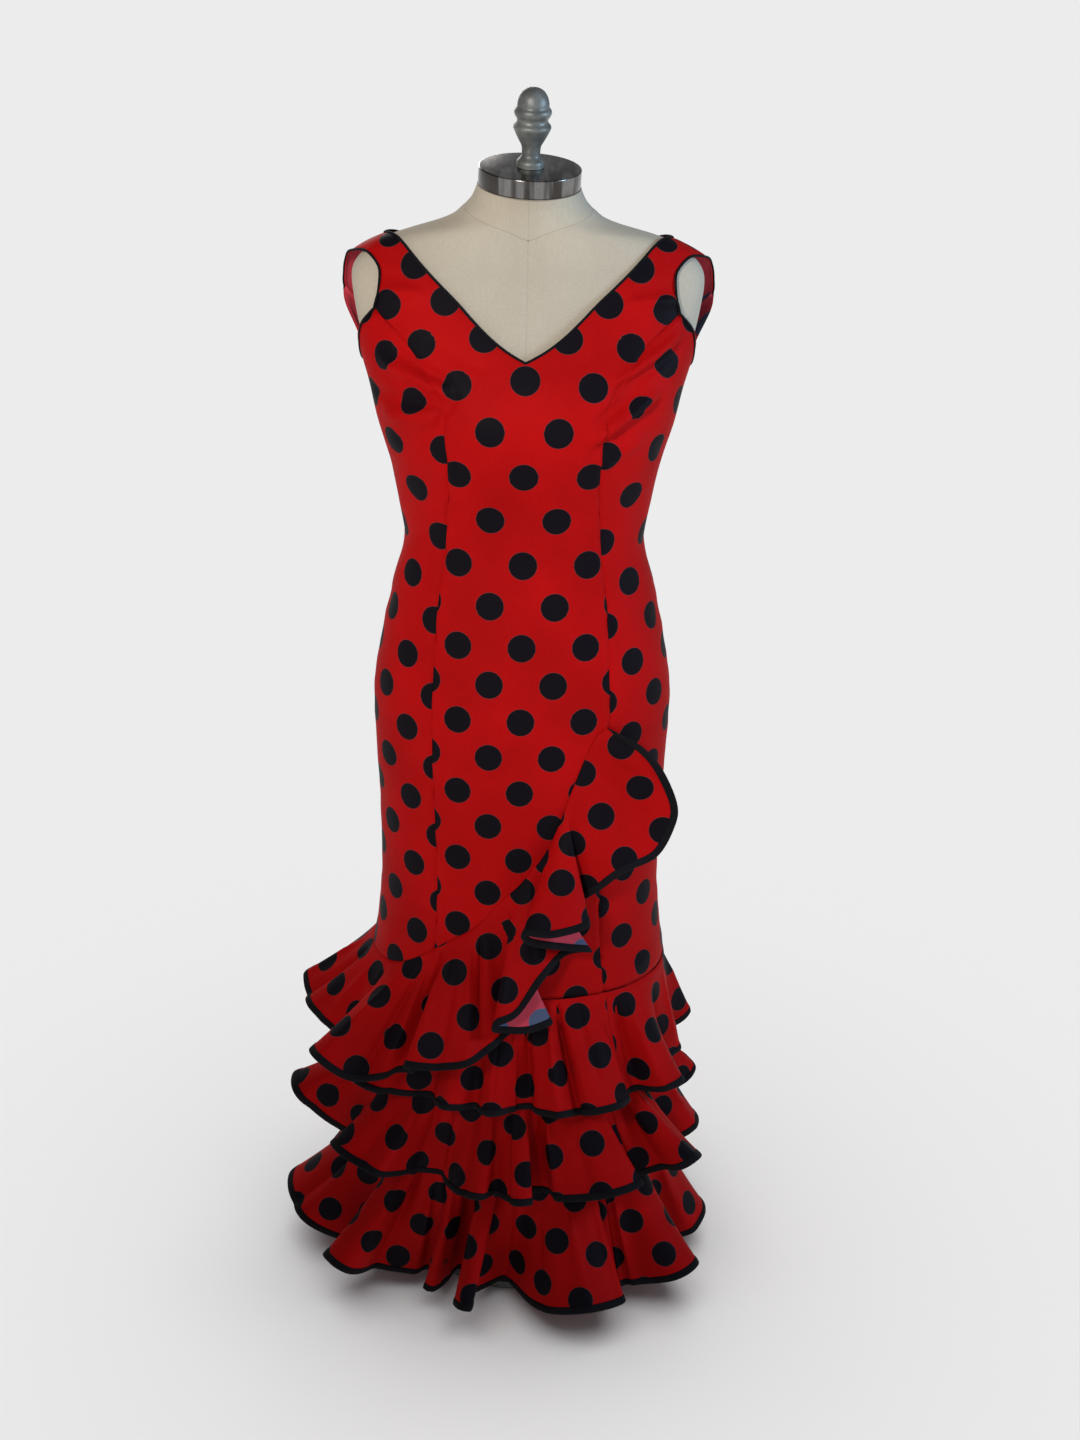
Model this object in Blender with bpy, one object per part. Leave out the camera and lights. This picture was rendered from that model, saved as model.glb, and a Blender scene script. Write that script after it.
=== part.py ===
"""A flamenco dress on its limbless dress form: seven body panels, an inner skirt, three flounced tiers,
one wrap flounce that climbs across the front, and black piping and bindings.

Metres, +Z up, the dress faces -Y. The origin is the middle of the base's underside.
Azimuth is measured from the front, positive towards the wearer's left (+X).
"""

import math

import bmesh
import bpy
import numpy as np

# Cloth
CLOTH = 0.0012  # wall of a panel or flounce
SEAM_GAP = 0.0007  # between two panels
LAP = 0.0010  # clear space under the wrap flounce's seam
TIER_LAP = 0.0004  # the same under a tier's seam
PIPING_LAP = 0.0006  # the same under a piping
INNER_INSET = 0.0004  # the inner skirt lies this far inside the line of the panels
BINDING_WIDTH = 0.008
BINDING_THICK = 0.003
BINDING_GAP = 0.0008  # between a flounce and its binding
PIPING = 0.0018  # radius of the neck and armhole piping

# Heights above the floor
SKIRT_HEM = 0.475  # the panels end here, on the first tier's seam
INNER_HEM = 0.212
FORM_FOOT = 0.80
NECK_TOP = 1.455
NECK_TILT = math.radians(11)  # the neck is cut off sloping towards the front
NECK_BEND = 1.41  # the slope fades out below this height

# Stand
BASE_RADIUS = 0.135
BASE_THICK = 0.012
POLE_RADIUS = 0.0125
CAP_RADIUS = 0.058
CAP_THICK = 0.024
SEAT = 0.0003  # between pieces that rest on each other

# The figure that the dress fits, as the outside of its cloth. Ease is the space from there to the form.
SECTIONS = (
    # height, half width, front depth, back depth, squareness, ease
    (0.20, 0.190, 0.150, 0.150, 2.20, 0.006),
    (0.36, 0.190, 0.148, 0.150, 2.20, 0.006),
    (0.47, 0.196, 0.143, 0.147, 2.20, 0.006),
    (0.53, 0.188, 0.133, 0.136, 2.25, 0.006),
    (0.60, 0.182, 0.126, 0.131, 2.30, 0.006),
    (0.70, 0.183, 0.122, 0.132, 2.30, 0.006),
    (0.80, 0.187, 0.120, 0.136, 2.30, 0.006),
    (0.86, 0.187, 0.117, 0.134, 2.30, 0.006),
    (0.93, 0.175, 0.110, 0.122, 2.30, 0.006),
    (1.00, 0.159, 0.104, 0.100, 2.30, 0.006),
    (1.05, 0.146, 0.101, 0.090, 2.30, 0.005),
    (1.10, 0.152, 0.108, 0.092, 2.30, 0.005),
    (1.15, 0.161, 0.126, 0.102, 2.30, 0.005),
    (1.20, 0.175, 0.137, 0.111, 2.30, 0.005),
    (1.24, 0.184, 0.130, 0.114, 2.35, 0.005),
    (1.28, 0.196, 0.111, 0.113, 2.40, 0.005),
    (1.32, 0.205, 0.090, 0.105, 2.50, 0.0046),
    (1.36, 0.207, 0.070, 0.086, 2.50, 0.0026),
    (1.38, 0.197, 0.060, 0.072, 2.40, 0.0019),
    (1.40, 0.170, 0.055, 0.061, 2.30, 0.0018),
    (1.42, 0.120, 0.054, 0.056, 2.20, 0.0016),
    (1.44, 0.078, 0.058, 0.054, 2.00, 0.0022),
    (1.46, 0.064, 0.066, 0.058, 2.00, 0.0022),
)
CORE = 1.22  # above this height a level turns into an angle about the core
TURN = 0.21  # metres of level for each radian of that angle
ARM = 0.18  # mean radius, which makes azimuths comparable with levels

# Edges and seams of the cut, as (azimuth in degrees, level)
PRINCESS = ((43, 0.475), (43, 0.55), (44, 0.65), (46, 0.75), (47, 0.84), (48.5, 0.92), (49, 0.98),
            (48.5, 1.03), (44.5, 1.09), (38, 1.145), (36, 1.20), (40, 1.25), (50.5, 1.29), (60, 1.315),
            (72.5, 1.332))
NECK_FRONT = ((0, 1.321), (11, 1.339), (22, 1.358), (35, 1.379), (48, 1.394), (67, 1.403), (80, 1.405),
              (92, 1.397))
ARM_FRONT = ((72.5, 1.332), (73, 1.352), (76, 1.370), (83, 1.374), (91, 1.367))
ARM_LOW = ((72.5, 1.332), (75, 1.318), (78, 1.303), (81, 1.285), (85, 1.270), (91, 1.263))
ARM_LOW_BACK = ((91, 1.263), (97, 1.268), (101, 1.284), (104, 1.305), (106, 1.330))
ARM_BACK = ((106, 1.330), (105, 1.345), (101, 1.358), (91, 1.367))
NECK_BACK = ((180, 1.340), (165, 1.362), (148, 1.385), (128, 1.400), (108, 1.404), (92, 1.397))
PRINCESS_BACK = ((137, 0.475), (136, 0.65), (135, 0.84), (134, 0.95), (136, 1.05), (137, 1.15), (133, 1.22),
                 (124, 1.27), (106, 1.330))
SIDE_SEAM = 91
WAIST = 1.05

# Points along the edges, shared by the panels and the piping that lies on them
ROWS = (SKIRT_HEM, 0.56, 0.66, 0.75, 0.84, 0.92, 0.99, WAIST, 1.10, 1.145, 1.185, 1.225, 1.27)
STRAP_STEPS = 9
CHEST_STEPS = 3  # from the last row to the foot of the front strap
BLADE_STEPS = 2  # the same on the back
NECK_STEPS = CHEST_STEPS + STRAP_STEPS
FRONT_COLUMNS = 4
SIDE_COLUMNS = 5
BACK_COLUMNS = 4

# The lobes of each tier at its free edge: the wearer's right comes first, then the front, then the left
TIERS = {
    "tier_1": {"seam": 0.475, "depth": 0.150, "drape": 1.30, "lobes": (
        # middle azimuth, half width, reach, lean, radius of the valley after it
        (-163, 13, 0.240, 0.000, 0.190), (-131, 12, 0.250, 0.000, 0.216), (-94, 18, 0.258, 0.000, 0.205),
        (-55, 13, 0.255, -0.010, 0.185), (-27, 8, 0.205, 0.000, 0.178),
        (-9, 6, 0.203, 0.000, 0.170), (24, 20, 0.222, 0.035, 0.205), (60, 8, 0.255, 0.000, 0.205),
        (84, 8, 0.228, 0.000, 0.203), (107, 10, 0.252, 0.000, 0.203), (137, 13, 0.262, 0.000, 0.190))},
    "tier_2": {"seam": 0.355, "depth": 0.158, "drape": 1.45, "lobes": (
        (-170, 12, 0.265, 0.000, 0.185), (-141, 12, 0.285, 0.000, 0.205), (-113, 11, 0.285, 0.000, 0.225),
        (-87, 12, 0.315, 0.000, 0.240), (-56, 14, 0.272, -0.030, 0.172), (-20, 10, 0.207, 0.012, 0.185),
        (2, 7, 0.222, 0.000, 0.190), (31, 15, 0.250, 0.030, 0.222), (58, 9, 0.288, 0.000, 0.215),
        (84, 11, 0.258, 0.000, 0.205), (113, 12, 0.275, 0.000, 0.205), (144, 13, 0.280, 0.000, 0.185))},
    "tier_3": {"seam": 0.225, "depth": 0.195, "drape": 1.35, "lobes": (
        (-172, 12, 0.272, 0.000, 0.190), (-143, 12, 0.290, 0.000, 0.200), (-113, 11, 0.298, 0.000, 0.225),
        (-84, 16, 0.326, -0.008, 0.235), (-56, 8, 0.302, -0.010, 0.180), (-34, 5, 0.212, 0.000, 0.165),
        (-14, 4, 0.243, 0.000, 0.148), (22, 20, 0.262, 0.040, 0.225), (57, 10, 0.298, 0.000, 0.230),
        (86, 12, 0.277, 0.000, 0.205), (117, 12, 0.285, 0.000, 0.205), (148, 12, 0.290, 0.000, 0.190))},
}
TIER_JOIN = 43  # azimuth where each tier's front half meets its back half, and again opposite
TIER_COLUMNS = 96
FLOUNCE_ROWS = 3

# The wrap flounce's seam climbs from the centre back round the wearer's right to the left princess seam
WRAP_SEAM = ((-179, 0.486), (-120, 0.486), (-80, 0.488), (-59, 0.500), (-37, 0.546), (-23, 0.573), (-9, 0.610),
             (3, 0.639), (17, 0.686), (37, 0.812), (45, 0.840))
WRAP_FOLDS = (
    # azimuth on the seam, azimuth of the free edge, its radius, its height
    (44.8, 46, 0.152, 0.838), (43, 52, 0.184, 0.821), (41, 56, 0.208, 0.792), (38.5, 59, 0.226, 0.744),
    (36, 58, 0.225, 0.712), (33.5, 53, 0.214, 0.678), (31, 42, 0.196, 0.664), (29, 34, 0.181, 0.641),
    (27.5, 26, 0.165, 0.616), (25.5, 25, 0.210, 0.614), (22.5, 12, 0.220, 0.611), (19, 2, 0.209, 0.609),
    (17, 4, 0.192, 0.586), (14.5, 16, 0.180, 0.568), (12, 25, 0.175, 0.556), (10, 25, 0.162, 0.548),
    (8, 19, 0.164, 0.546), (6, 10, 0.186, 0.528), (3.5, 1, 0.206, 0.494), (1, -6, 0.214, 0.482),
    (-1.5, -8, 0.208, 0.470), (-4, -5, 0.195, 0.460),
    (-6.5, 3, 0.184, 0.454), (-9, 11, 0.175, 0.456), (-12, 5, 0.166, 0.452), (-15.5, -2, 0.174, 0.446),
    (-19, -8, 0.200, 0.438), (-23.5, -15, 0.230, 0.428),
    (-28, -22, 0.250, 0.429), (-33, -30, 0.256, 0.422), (-38, -37, 0.240, 0.400), (-43, -41, 0.260, 0.388),
    (-50, -48, 0.292, 0.388), (-58, -59, 0.308, 0.404), (-68, -70, 0.260, 0.385), (-78, -81, 0.286, 0.398),
    (-87, -90, 0.294, 0.402), (-97, -99, 0.294, 0.402), (-107, -109, 0.272, 0.388), (-116, -117, 0.230, 0.350),
    (-125, -127, 0.276, 0.390), (-136, -137, 0.280, 0.392), (-147, -147, 0.218, 0.348), (-157, -157, 0.258, 0.384),
    (-167, -167, 0.262, 0.384), (-178, -178, 0.246, 0.370))
WRAP_COLUMNS = 100

# Colours as linear red, green, blue
RED = (0.42, 0.006, 0.008)
BLACK = (0.006, 0.005, 0.008)
LINEN = (0.53, 0.47, 0.36)
STEEL = (0.42, 0.40, 0.38)
SILVER = (0.50, 0.49, 0.46)


def material(name, colour, roughness, metallic=0.0):
    made = bpy.data.materials.new(name)
    made.use_nodes = True
    shader = made.node_tree.nodes["Principled BSDF"]
    shader.inputs["Base Color"].default_value = (*colour, 1)
    shader.inputs["Roughness"].default_value = roughness
    shader.inputs["Metallic"].default_value = metallic
    return made


def finish(name, mesh, look):
    """A smooth-shaded object of the scene, with its own copy of the look."""
    made = bpy.data.objects.new(name, mesh)
    bpy.context.scene.collection.objects.link(made)
    mesh.materials.append(look.copy())
    mesh.shade_smooth()
    mesh.set_sharp_from_angle(angle=math.radians(40))
    return made


# Shape of the figure

TABLE = np.array(SECTIONS)


def section(height):
    """Half width, front, back, squareness and ease at a height, smooth between the rows."""
    height = np.clip(np.asarray(height, float), TABLE[0, 0], TABLE[-1, 0])
    last = len(TABLE) - 1
    row = np.clip(np.searchsorted(TABLE[:, 0], height, side="right") - 1, 0, last - 1)

    def slope(i):
        low, high = np.clip(i - 1, 0, last), np.clip(i + 1, 0, last)
        return (TABLE[high, 1:] - TABLE[low, 1:]) / (TABLE[high, :1] - TABLE[low, :1])

    step = (TABLE[row + 1, 0] - TABLE[row, 0])[..., None]
    t = (height - TABLE[row, 0])[..., None] / step
    start, end = TABLE[row, 1:], TABLE[row + 1, 1:]
    curve = (2 * t**3 - 3 * t**2 + 1) * start + (3 * t**2 - 2 * t**3) * end
    return curve + (t**3 - 2 * t**2 + t) * step * slope(row) + (t**3 - t**2) * step * slope(row + 1)


def field(points):
    """Below zero within the figure, zero on it."""
    half, front, back, square, _ = np.moveaxis(section(points[..., 2]), -1, 0)
    x = np.abs(points[..., 0] / half)
    y = np.abs((points[..., 1] - (back - front) / 2) * 2 / (front + back))
    return x**square + y**square - 1


def reach(origin, direction):
    """Where rays from inside meet the figure, found by halving."""
    low = np.zeros(origin.shape[:-1])
    high = np.full(origin.shape[:-1], 0.45)
    for _ in range(36):
        middle = (low + high) / 2
        within = field(origin + direction * middle[..., None]) < 0
        low = np.where(within, middle, low)
        high = np.where(within, high, middle)
    return origin + direction * low[..., None]


def moved_out(points, distance):
    """Points of the figure moved square to it."""
    step = 0.0005 * np.eye(3)
    slope = np.stack([field(points + axis) - field(points - axis) for axis in step], -1)
    return points + slope / np.linalg.norm(slope, axis=-1)[..., None] * np.asarray(distance)[..., None]


def on_figure(azimuth, level, out=0.0):
    """Points at a distance over the figure. A level over the core fans up over the shoulder."""
    turn, level = np.broadcast_arrays(np.radians(azimuth), np.asarray(level, float))
    lift = np.maximum(level - CORE, 0) / TURN
    origin = np.stack([0 * turn, 0 * turn, np.minimum(level, CORE)], -1)
    direction = np.stack([np.sin(turn) * np.cos(lift), -np.cos(turn) * np.cos(lift), np.sin(lift)], -1)
    return moved_out(reach(origin, direction), out)


def along(points, steps, closed=False, scale=None):
    """Steps + 1 points, evenly spaced, on a smooth curve through the given ones."""
    given = np.array(points, float)
    scale = np.ones(given.shape[1]) if scale is None else np.array(scale)
    if closed:
        ends = given[-1:], given[:1], given[1:2]
    else:
        ends = 2 * given[:1] - given[1:2], 2 * given[-1:] - given[-2:-1], given[:0]
    knots = np.concatenate([ends[0], given, ends[1], ends[2]])
    t = np.linspace(0, 1, 17)[:-1, None]
    pieces = []
    for a, b, c, d in zip(knots, knots[1:], knots[2:], knots[3:]):
        pieces.append(b + t * (c - a) / 2 + t**2 * (a - 2.5 * b + 2 * c - d / 2) + t**3 * ((d - a) / 2 + 1.5 * (b - c)))
    pieces.append(given[:1] if closed else given[-1:])
    curve = np.concatenate(pieces)
    run = np.concatenate([[0], np.cumsum(np.linalg.norm(np.diff(curve, axis=0) * scale, axis=1))])
    wanted = np.linspace(0, run[-1], steps + 1)
    return np.stack([np.interp(wanted, run, curve[:, i]) for i in range(curve.shape[1])], 1)


def edge(points, steps):
    """The same on the figure's surface, for (azimuth, level) points."""
    return along(points, steps, scale=(math.radians(ARM), 1))


# Walls of cloth

def sheet(name, grids, look, thick=CLOTH, closed=False):
    """A wall from grids of points, rows down and columns across. Grids that share points are welded."""
    work = bmesh.new()
    for grid in grids:
        corners = [[work.verts.new(point) for point in row] for row in grid]
        columns = len(grid[0])
        for upper, lower in zip(corners, corners[1:]):
            for i in range(columns if closed else columns - 1):
                j = (i + 1) % columns
                work.faces.new((upper[i], upper[j], lower[j], lower[i]))
    bmesh.ops.remove_doubles(work, verts=work.verts, dist=0.00002)
    work.normal_update()
    outward = sum(face.normal.xy.dot(face.calc_center_median().xy) * face.calc_area() for face in work.faces)
    if outward < 0:
        bmesh.ops.reverse_faces(work, faces=work.faces)
    mesh = bpy.data.meshes.new(name)
    work.to_mesh(mesh)
    work.free()
    made = finish(name, mesh, look)
    wall = made.modifiers.new("Cloth", "SOLIDIFY")
    wall.thickness = thick
    wall.offset = -1
    return made


def aside(points, gap):
    """Chart points moved square off their line by half a seam gap, towards the left for a line that rises."""
    scale = np.array((math.radians(ARM), 1))
    flat = np.array(points, float) * scale
    run = np.gradient(flat, axis=0)
    run /= np.linalg.norm(run, axis=1)[:, None]
    return (flat + np.stack([run[:, 1], -run[:, 0]], 1) * gap / 2) / scale


def seam_line(points, steps):
    """A seam with a point on each row of the panels, then evenly spaced ones up to the armhole."""
    curve = along(points, 80)
    low = np.stack([np.interp(ROWS, curve[:, 1], curve[:, 0]), ROWS], 1)
    high = edge(np.concatenate([low[-1:], curve[curve[:, 1] > ROWS[-1] + 0.004]]), steps)
    return np.concatenate([low, high[1:]])


def plumb(azimuth, levels, top):
    """A seam at one azimuth. The levels above the waist are stretched to end at the top."""
    levels = np.array(levels, float)
    rise = np.clip((levels - WAIST) / (levels[-1] - WAIST), 0, 1) ** 2
    return np.stack([np.full(len(levels), float(azimuth)), levels + (top - levels[-1]) * rise], 1)


def panel(name, chart, side, look):
    """A panel from its chart, columns across the body and rows up it, mirrored for the other side."""
    grid = on_figure(chart[..., 0] * side, chart[..., 1])
    sheet(name, [grid], look)


def between(first, last, columns):
    """Chart columns from one edge of a panel to the other."""
    across = np.linspace(0, 1, columns + 1)[:, None, None]
    return first * (1 - across) + last * across


def under_arm(chart, arm):
    """The same columns stretched to end at the armhole."""
    rise = np.linspace(0, 1, chart.shape[1]) ** 2
    chart[:, :, 1] += (arm[:, 1] - chart[:, -1, 1])[:, None] * rise
    return chart


def front_centre(look):
    """One piece from princess seam to princess seam, with both front straps and the V neck."""
    seam = aside(seam_line(PRINCESS, CHEST_STEPS), -SEAM_GAP)
    outer = np.concatenate([seam, edge(ARM_FRONT, STRAP_STEPS)[1:]])
    inner = np.concatenate([plumb(0, ROWS, NECK_FRONT[0][1]), edge(NECK_FRONT, NECK_STEPS)[1:]])
    chart = between(inner, outer, FRONT_COLUMNS)
    left = on_figure(chart[..., 0], chart[..., 1])
    right = on_figure(-chart[..., 0], chart[..., 1])
    sheet("front_centre", [left, right[::-1]], look)


def front_side(name, side, look):
    """From the princess seam to the side seam, under the armhole."""
    seam = aside(seam_line(PRINCESS, CHEST_STEPS), SEAM_GAP)
    flank = aside(plumb(SIDE_SEAM, seam[:, 1], ARM_LOW[-1][1]), -SEAM_GAP)
    chart = under_arm(between(seam, flank, SIDE_COLUMNS), edge(ARM_LOW, SIDE_COLUMNS))
    panel(name, chart, side, look)


def back_side(name, side, look):
    """From the side seam to the back princess seam."""
    seam = aside(seam_line(PRINCESS_BACK, BLADE_STEPS), -SEAM_GAP)
    flank = aside(plumb(SIDE_SEAM, seam[:, 1], ARM_LOW[-1][1]), SEAM_GAP)
    chart = under_arm(between(flank, seam, BACK_COLUMNS), edge(ARM_LOW_BACK, BACK_COLUMNS))
    panel(name, chart, side, look)


def back_centre(name, side, look):
    """From the back princess seam to the centre back seam, with the back strap."""
    seam = aside(seam_line(PRINCESS_BACK, BLADE_STEPS), SEAM_GAP)
    outer = np.concatenate([seam, edge(ARM_BACK, STRAP_STEPS)[1:]])
    middle = aside(plumb(180, seam[:, 1], NECK_BACK[0][1]), -SEAM_GAP)
    inner = np.concatenate([middle, edge(NECK_BACK, STRAP_STEPS)[1:]])
    # The strap stops short of the shoulder seam, where the front strap begins
    for line in (outer, inner):
        line[-1] += (line[-2] - line[-1]) * SEAM_GAP / 0.006
    panel(name, between(outer, inner, BACK_COLUMNS), side, look)


def inner_skirt(name, start, stop, look):
    """Half of the straight skirt that carries the tiers."""
    inset = math.degrees(SEAM_GAP / 2 / ARM)
    turn = np.linspace(start + inset, stop - inset, 17)
    levels = np.linspace(SKIRT_HEM - SEAM_GAP, INNER_HEM, 4)
    sheet(name, [on_figure(turn[None, :], levels[:, None], -INNER_INSET)], look)


# Flounces

def lobed_edge(tier):
    """The tier's free edge from above: three points on each lobe and one in each valley."""
    lobes = tier["lobes"]
    plan = []
    for lobe, following in zip(lobes, lobes[1:] + lobes[:1]):
        middle, half, far, lean, valley = lobe
        start = following[0] - following[1] + (360 if following[0] < middle else 0)
        plan.append((middle - 0.62 * half, 0.955 * far - lean / 2))
        plan.append((middle, far))
        plan.append((middle + 0.62 * half, 0.955 * far + lean / 2))
        plan.append(((middle + half + start) / 2, valley))
    turn, radius = np.radians([a for a, _ in plan]), np.array([r for _, r in plan])
    return np.stack([radius * np.sin(turn), -radius * np.cos(turn)], 1)


def tier_lines(tier):
    """Seam point and free edge point of each column, as two closed rings."""
    plan = along(lobed_edge(tier), TIER_COLUMNS, closed=True)[:-1]
    turn = np.degrees(np.unwrap(np.arctan2(plan[:, 0], -plan[:, 1])))
    even = turn[0] + 360 * np.arange(TIER_COLUMNS) / TIER_COLUMNS
    even += (turn - even).mean()
    seam = on_figure(0.55 * turn + 0.45 * even, tier["seam"], TIER_LAP + CLOTH)
    flat = np.linalg.norm(plan - seam[:, :2], axis=1)
    drop = np.sqrt(tier["depth"] ** 2 - np.minimum(flat, 0.93 * tier["depth"]) ** 2)
    free = np.concatenate([plan, (tier["seam"] - drop)[:, None]], 1)
    return seam, free


def flounce_rows(seam, free, shares, drape):
    """Rows of points at shares of the way to the free edge. The cloth hangs down first and flares later."""
    shares = np.asarray(shares)[..., None]
    rows = seam + (free - seam) * shares
    rows[..., :2] = seam[:, :2] + (free - seam)[:, :2] * shares**drape
    return rows


def near_edge(seam, free, gap=0.0):
    """The share of each column where the binding begins, and the flounce ends this far short of it."""
    run = np.gradient(free, axis=0)
    run /= np.linalg.norm(run, axis=1)[:, None]
    across = np.linalg.norm(np.cross(run, free - seam), axis=1)
    return 1 - np.minimum(BINDING_WIDTH / across, 0.6) - np.minimum(gap / across, 0.2)


def flounce(name, seam, free, drape, look):
    shares = np.linspace(0, 1, FLOUNCE_ROWS + 1)[:, None] * near_edge(seam, free, BINDING_GAP)
    sheet(name, [flounce_rows(seam, free, shares, drape)], look)


def binding(name, seam, free, drape, look, closed):
    """Bias binding that closes the free edge, thicker than the cloth on both sides."""
    start = near_edge(seam, free)
    shares = np.stack([start, np.ones(len(start))])
    made = sheet(name, [flounce_rows(seam, free, shares, drape)], look, BINDING_THICK, closed)
    made.modifiers["Cloth"].offset = 0


def tier(name, values, look, trim):
    seam, free = tier_lines(values)
    turn = np.degrees(np.arctan2(seam[:, 0], -seam[:, 1]))
    join = int(np.argmin(np.abs(turn - TIER_JOIN)))
    other = int(np.argmin(np.abs(turn - TIER_JOIN + 180)))
    count = len(seam)
    front = [(other + i) % count for i in range((join - other) % count + 1)]
    back = [(join + i) % count for i in range((other - join) % count + 1)]
    for part, picked in (("front", front), ("back", back)):
        top, low = seam[picked].copy(), free[picked].copy()
        for line in (top, low):
            for end, inward in ((0, 1), (-1, -2)):
                pull = line[inward] - line[end]
                line[end] += pull / np.linalg.norm(pull) * SEAM_GAP / 2
        flounce(f"{name}_{part}", top, low, values["drape"], look)
    binding(f"{name}_binding", seam, free, values["drape"], trim, closed=True)


def wrap_flounce(look, trim):
    """The cascade: its free edge turns back under itself twice, in cones, before it runs level."""
    folds = np.array(WRAP_FOLDS)
    turn = np.radians(folds[:, 1])
    spots = np.stack([folds[:, 2] * np.sin(turn), -folds[:, 2] * np.cos(turn), folds[:, 3], folds[:, 0]], 1)
    lines = along(spots, WRAP_COLUMNS, scale=(1, 1, 1, 0))[::-1]
    climb = along(WRAP_SEAM, 90)
    seam = on_figure(lines[:, 3], np.interp(lines[:, 3], climb[:, 0], climb[:, 1]), LAP + CLOTH)
    free = lines[:, :3]
    flounce("wrap_flounce", seam, free, 1.15, look)
    binding("wrap_binding", seam, free, 1.15, trim, closed=False)


def piping(name, points, look, closed):
    """A round cord of black cloth along an edge, laid on the panels."""
    curve = bpy.data.curves.new(name, "CURVE")
    curve.dimensions = "3D"
    curve.bevel_depth = PIPING
    curve.bevel_resolution = 1
    curve.use_fill_caps = not closed
    spline = curve.splines.new("POLY")
    spline.points.add(len(points) - 1)
    for spot, place in zip(spline.points, points):
        spot.co = (*place, 1)
    spline.use_cyclic_u = closed
    made = bpy.data.objects.new(name, curve)
    bpy.context.scene.collection.objects.link(made)
    curve.materials.append(look.copy())


def mirrored(points):
    return np.array(points, float) * (-1, 1)


def neck_piping(look):
    front, back = edge(NECK_FRONT, NECK_STEPS), edge(NECK_BACK, STRAP_STEPS)
    left = np.concatenate([front, back[::-1][1:]])
    loop = np.concatenate([left, mirrored(left)[::-1][1:-1]])
    piping("neck_piping", on_figure(loop[:, 0], loop[:, 1], PIPING + PIPING_LAP), look, closed=True)


def arm_piping(name, side, look):
    parts = (edge(ARM_LOW, SIDE_COLUMNS), edge(ARM_LOW_BACK, BACK_COLUMNS), edge(ARM_BACK, STRAP_STEPS),
             edge(ARM_FRONT, STRAP_STEPS)[::-1])
    loop = np.concatenate([part[1:] for part in parts])
    piping(name, on_figure(loop[:, 0] * side, loop[:, 1], PIPING + PIPING_LAP), look, closed=True)


# Dress form and stand

def form_body(look):
    """The linen-covered torso, closed below, with its neck cut off to slope forwards."""
    columns = 36
    levels = np.concatenate([np.linspace(FORM_FOOT, 1.34, 13), (1.36, 1.375, 1.387, 1.398, 1.408, 1.42, 1.435, NECK_TOP)])
    turn = np.radians(np.arange(columns) * 360 / columns)
    direction = np.stack([np.sin(turn), -np.cos(turn), 0 * turn], 1)
    work = bmesh.new()
    rings = []
    for level in levels:
        ring = reach(np.tile((0, 0, level), (columns, 1)), direction)
        ring = moved_out(ring, -CLOTH - section(ring[:, 2])[:, 4])
        if level in (FORM_FOOT, NECK_TOP):
            ring[:, 2] = level
        ring[:, 2] += neck_slope(ring[:, 1], level)
        rings.append([work.verts.new(point) for point in ring])
    for low, high in zip(rings, rings[1:]):
        for i in range(columns):
            j = (i + 1) % columns
            work.faces.new((low[i], low[j], high[j], high[i]))
    work.faces.new(rings[0][::-1])
    work.faces.new(rings[-1])
    bmesh.ops.recalc_face_normals(work, faces=work.faces)
    mesh = bpy.data.meshes.new("form_body")
    work.to_mesh(mesh)
    work.free()
    finish("form_body", mesh, look)


def neck_slope(y, level):
    share = min(max((level - NECK_BEND) / (NECK_TOP - NECK_BEND), 0), 1)
    return y * math.tan(NECK_TILT) * share


def turned(name, profile, look, steps=18):
    """A piece turned from (radius, height) pairs, both ends on the axis."""
    work = bmesh.new()
    spots = [work.verts.new((radius, 0, height)) for radius, height in profile]
    lines = [work.edges.new(pair) for pair in zip(spots, spots[1:])]
    bmesh.ops.spin(work, geom=spots + lines, cent=(0, 0, 0), axis=(0, 0, 1), angle=math.tau, steps=steps, use_merge=True)
    bmesh.ops.remove_doubles(work, verts=work.verts, dist=0.00001)
    bmesh.ops.recalc_face_normals(work, faces=work.faces)
    mesh = bpy.data.meshes.new(name)
    work.to_mesh(mesh)
    work.free()
    return finish(name, mesh, look)


FINIAL = ((0, 0), (0.0150, 0), (0.0150, 0.006), (0.0122, 0.011), (0.0110, 0.021), (0.0150, 0.035), (0.0192, 0.043),
          (0.0192, 0.047), (0.0165, 0.050), (0.0165, 0.054), (0.0200, 0.057), (0.0200, 0.062), (0.0185, 0.066),
          (0.0170, 0.074), (0.0120, 0.082), (0.0060, 0.086), (0, 0.087))


def stand(metal, painted):
    """Base plate and pole below the form, cap and finial on its neck."""
    soft = 0.002
    turned("base", ((0, 0), (BASE_RADIUS - soft, 0), (BASE_RADIUS, soft), (BASE_RADIUS, BASE_THICK - soft),
                    (BASE_RADIUS - soft, BASE_THICK), (0, BASE_THICK)), painted, 40)
    foot, top = BASE_THICK + SEAT, FORM_FOOT - SEAT
    turned("pole", ((0, foot), (POLE_RADIUS, foot), (POLE_RADIUS, top), (0, top)), metal, 16)
    cap = turned("neck_cap", ((0, 0), (CAP_RADIUS - 0.001, 0), (CAP_RADIUS, 0.001), (CAP_RADIUS, CAP_THICK - 0.0015),
                              (CAP_RADIUS - 0.0015, CAP_THICK), (0, CAP_THICK)), metal, 36)
    knob = turned("finial", FINIAL, painted)
    neck = bpy.data.objects.new("neck", None)
    bpy.context.scene.collection.objects.link(neck)
    neck.location = (0, 0, NECK_TOP + SEAT)
    neck.rotation_euler = (NECK_TILT, 0, 0)
    for piece in (cap, knob):
        piece.parent = neck
    cap.location = (0, -0.004, 0)
    knob.location = (0, -0.004, CAP_THICK + SEAT)


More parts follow.
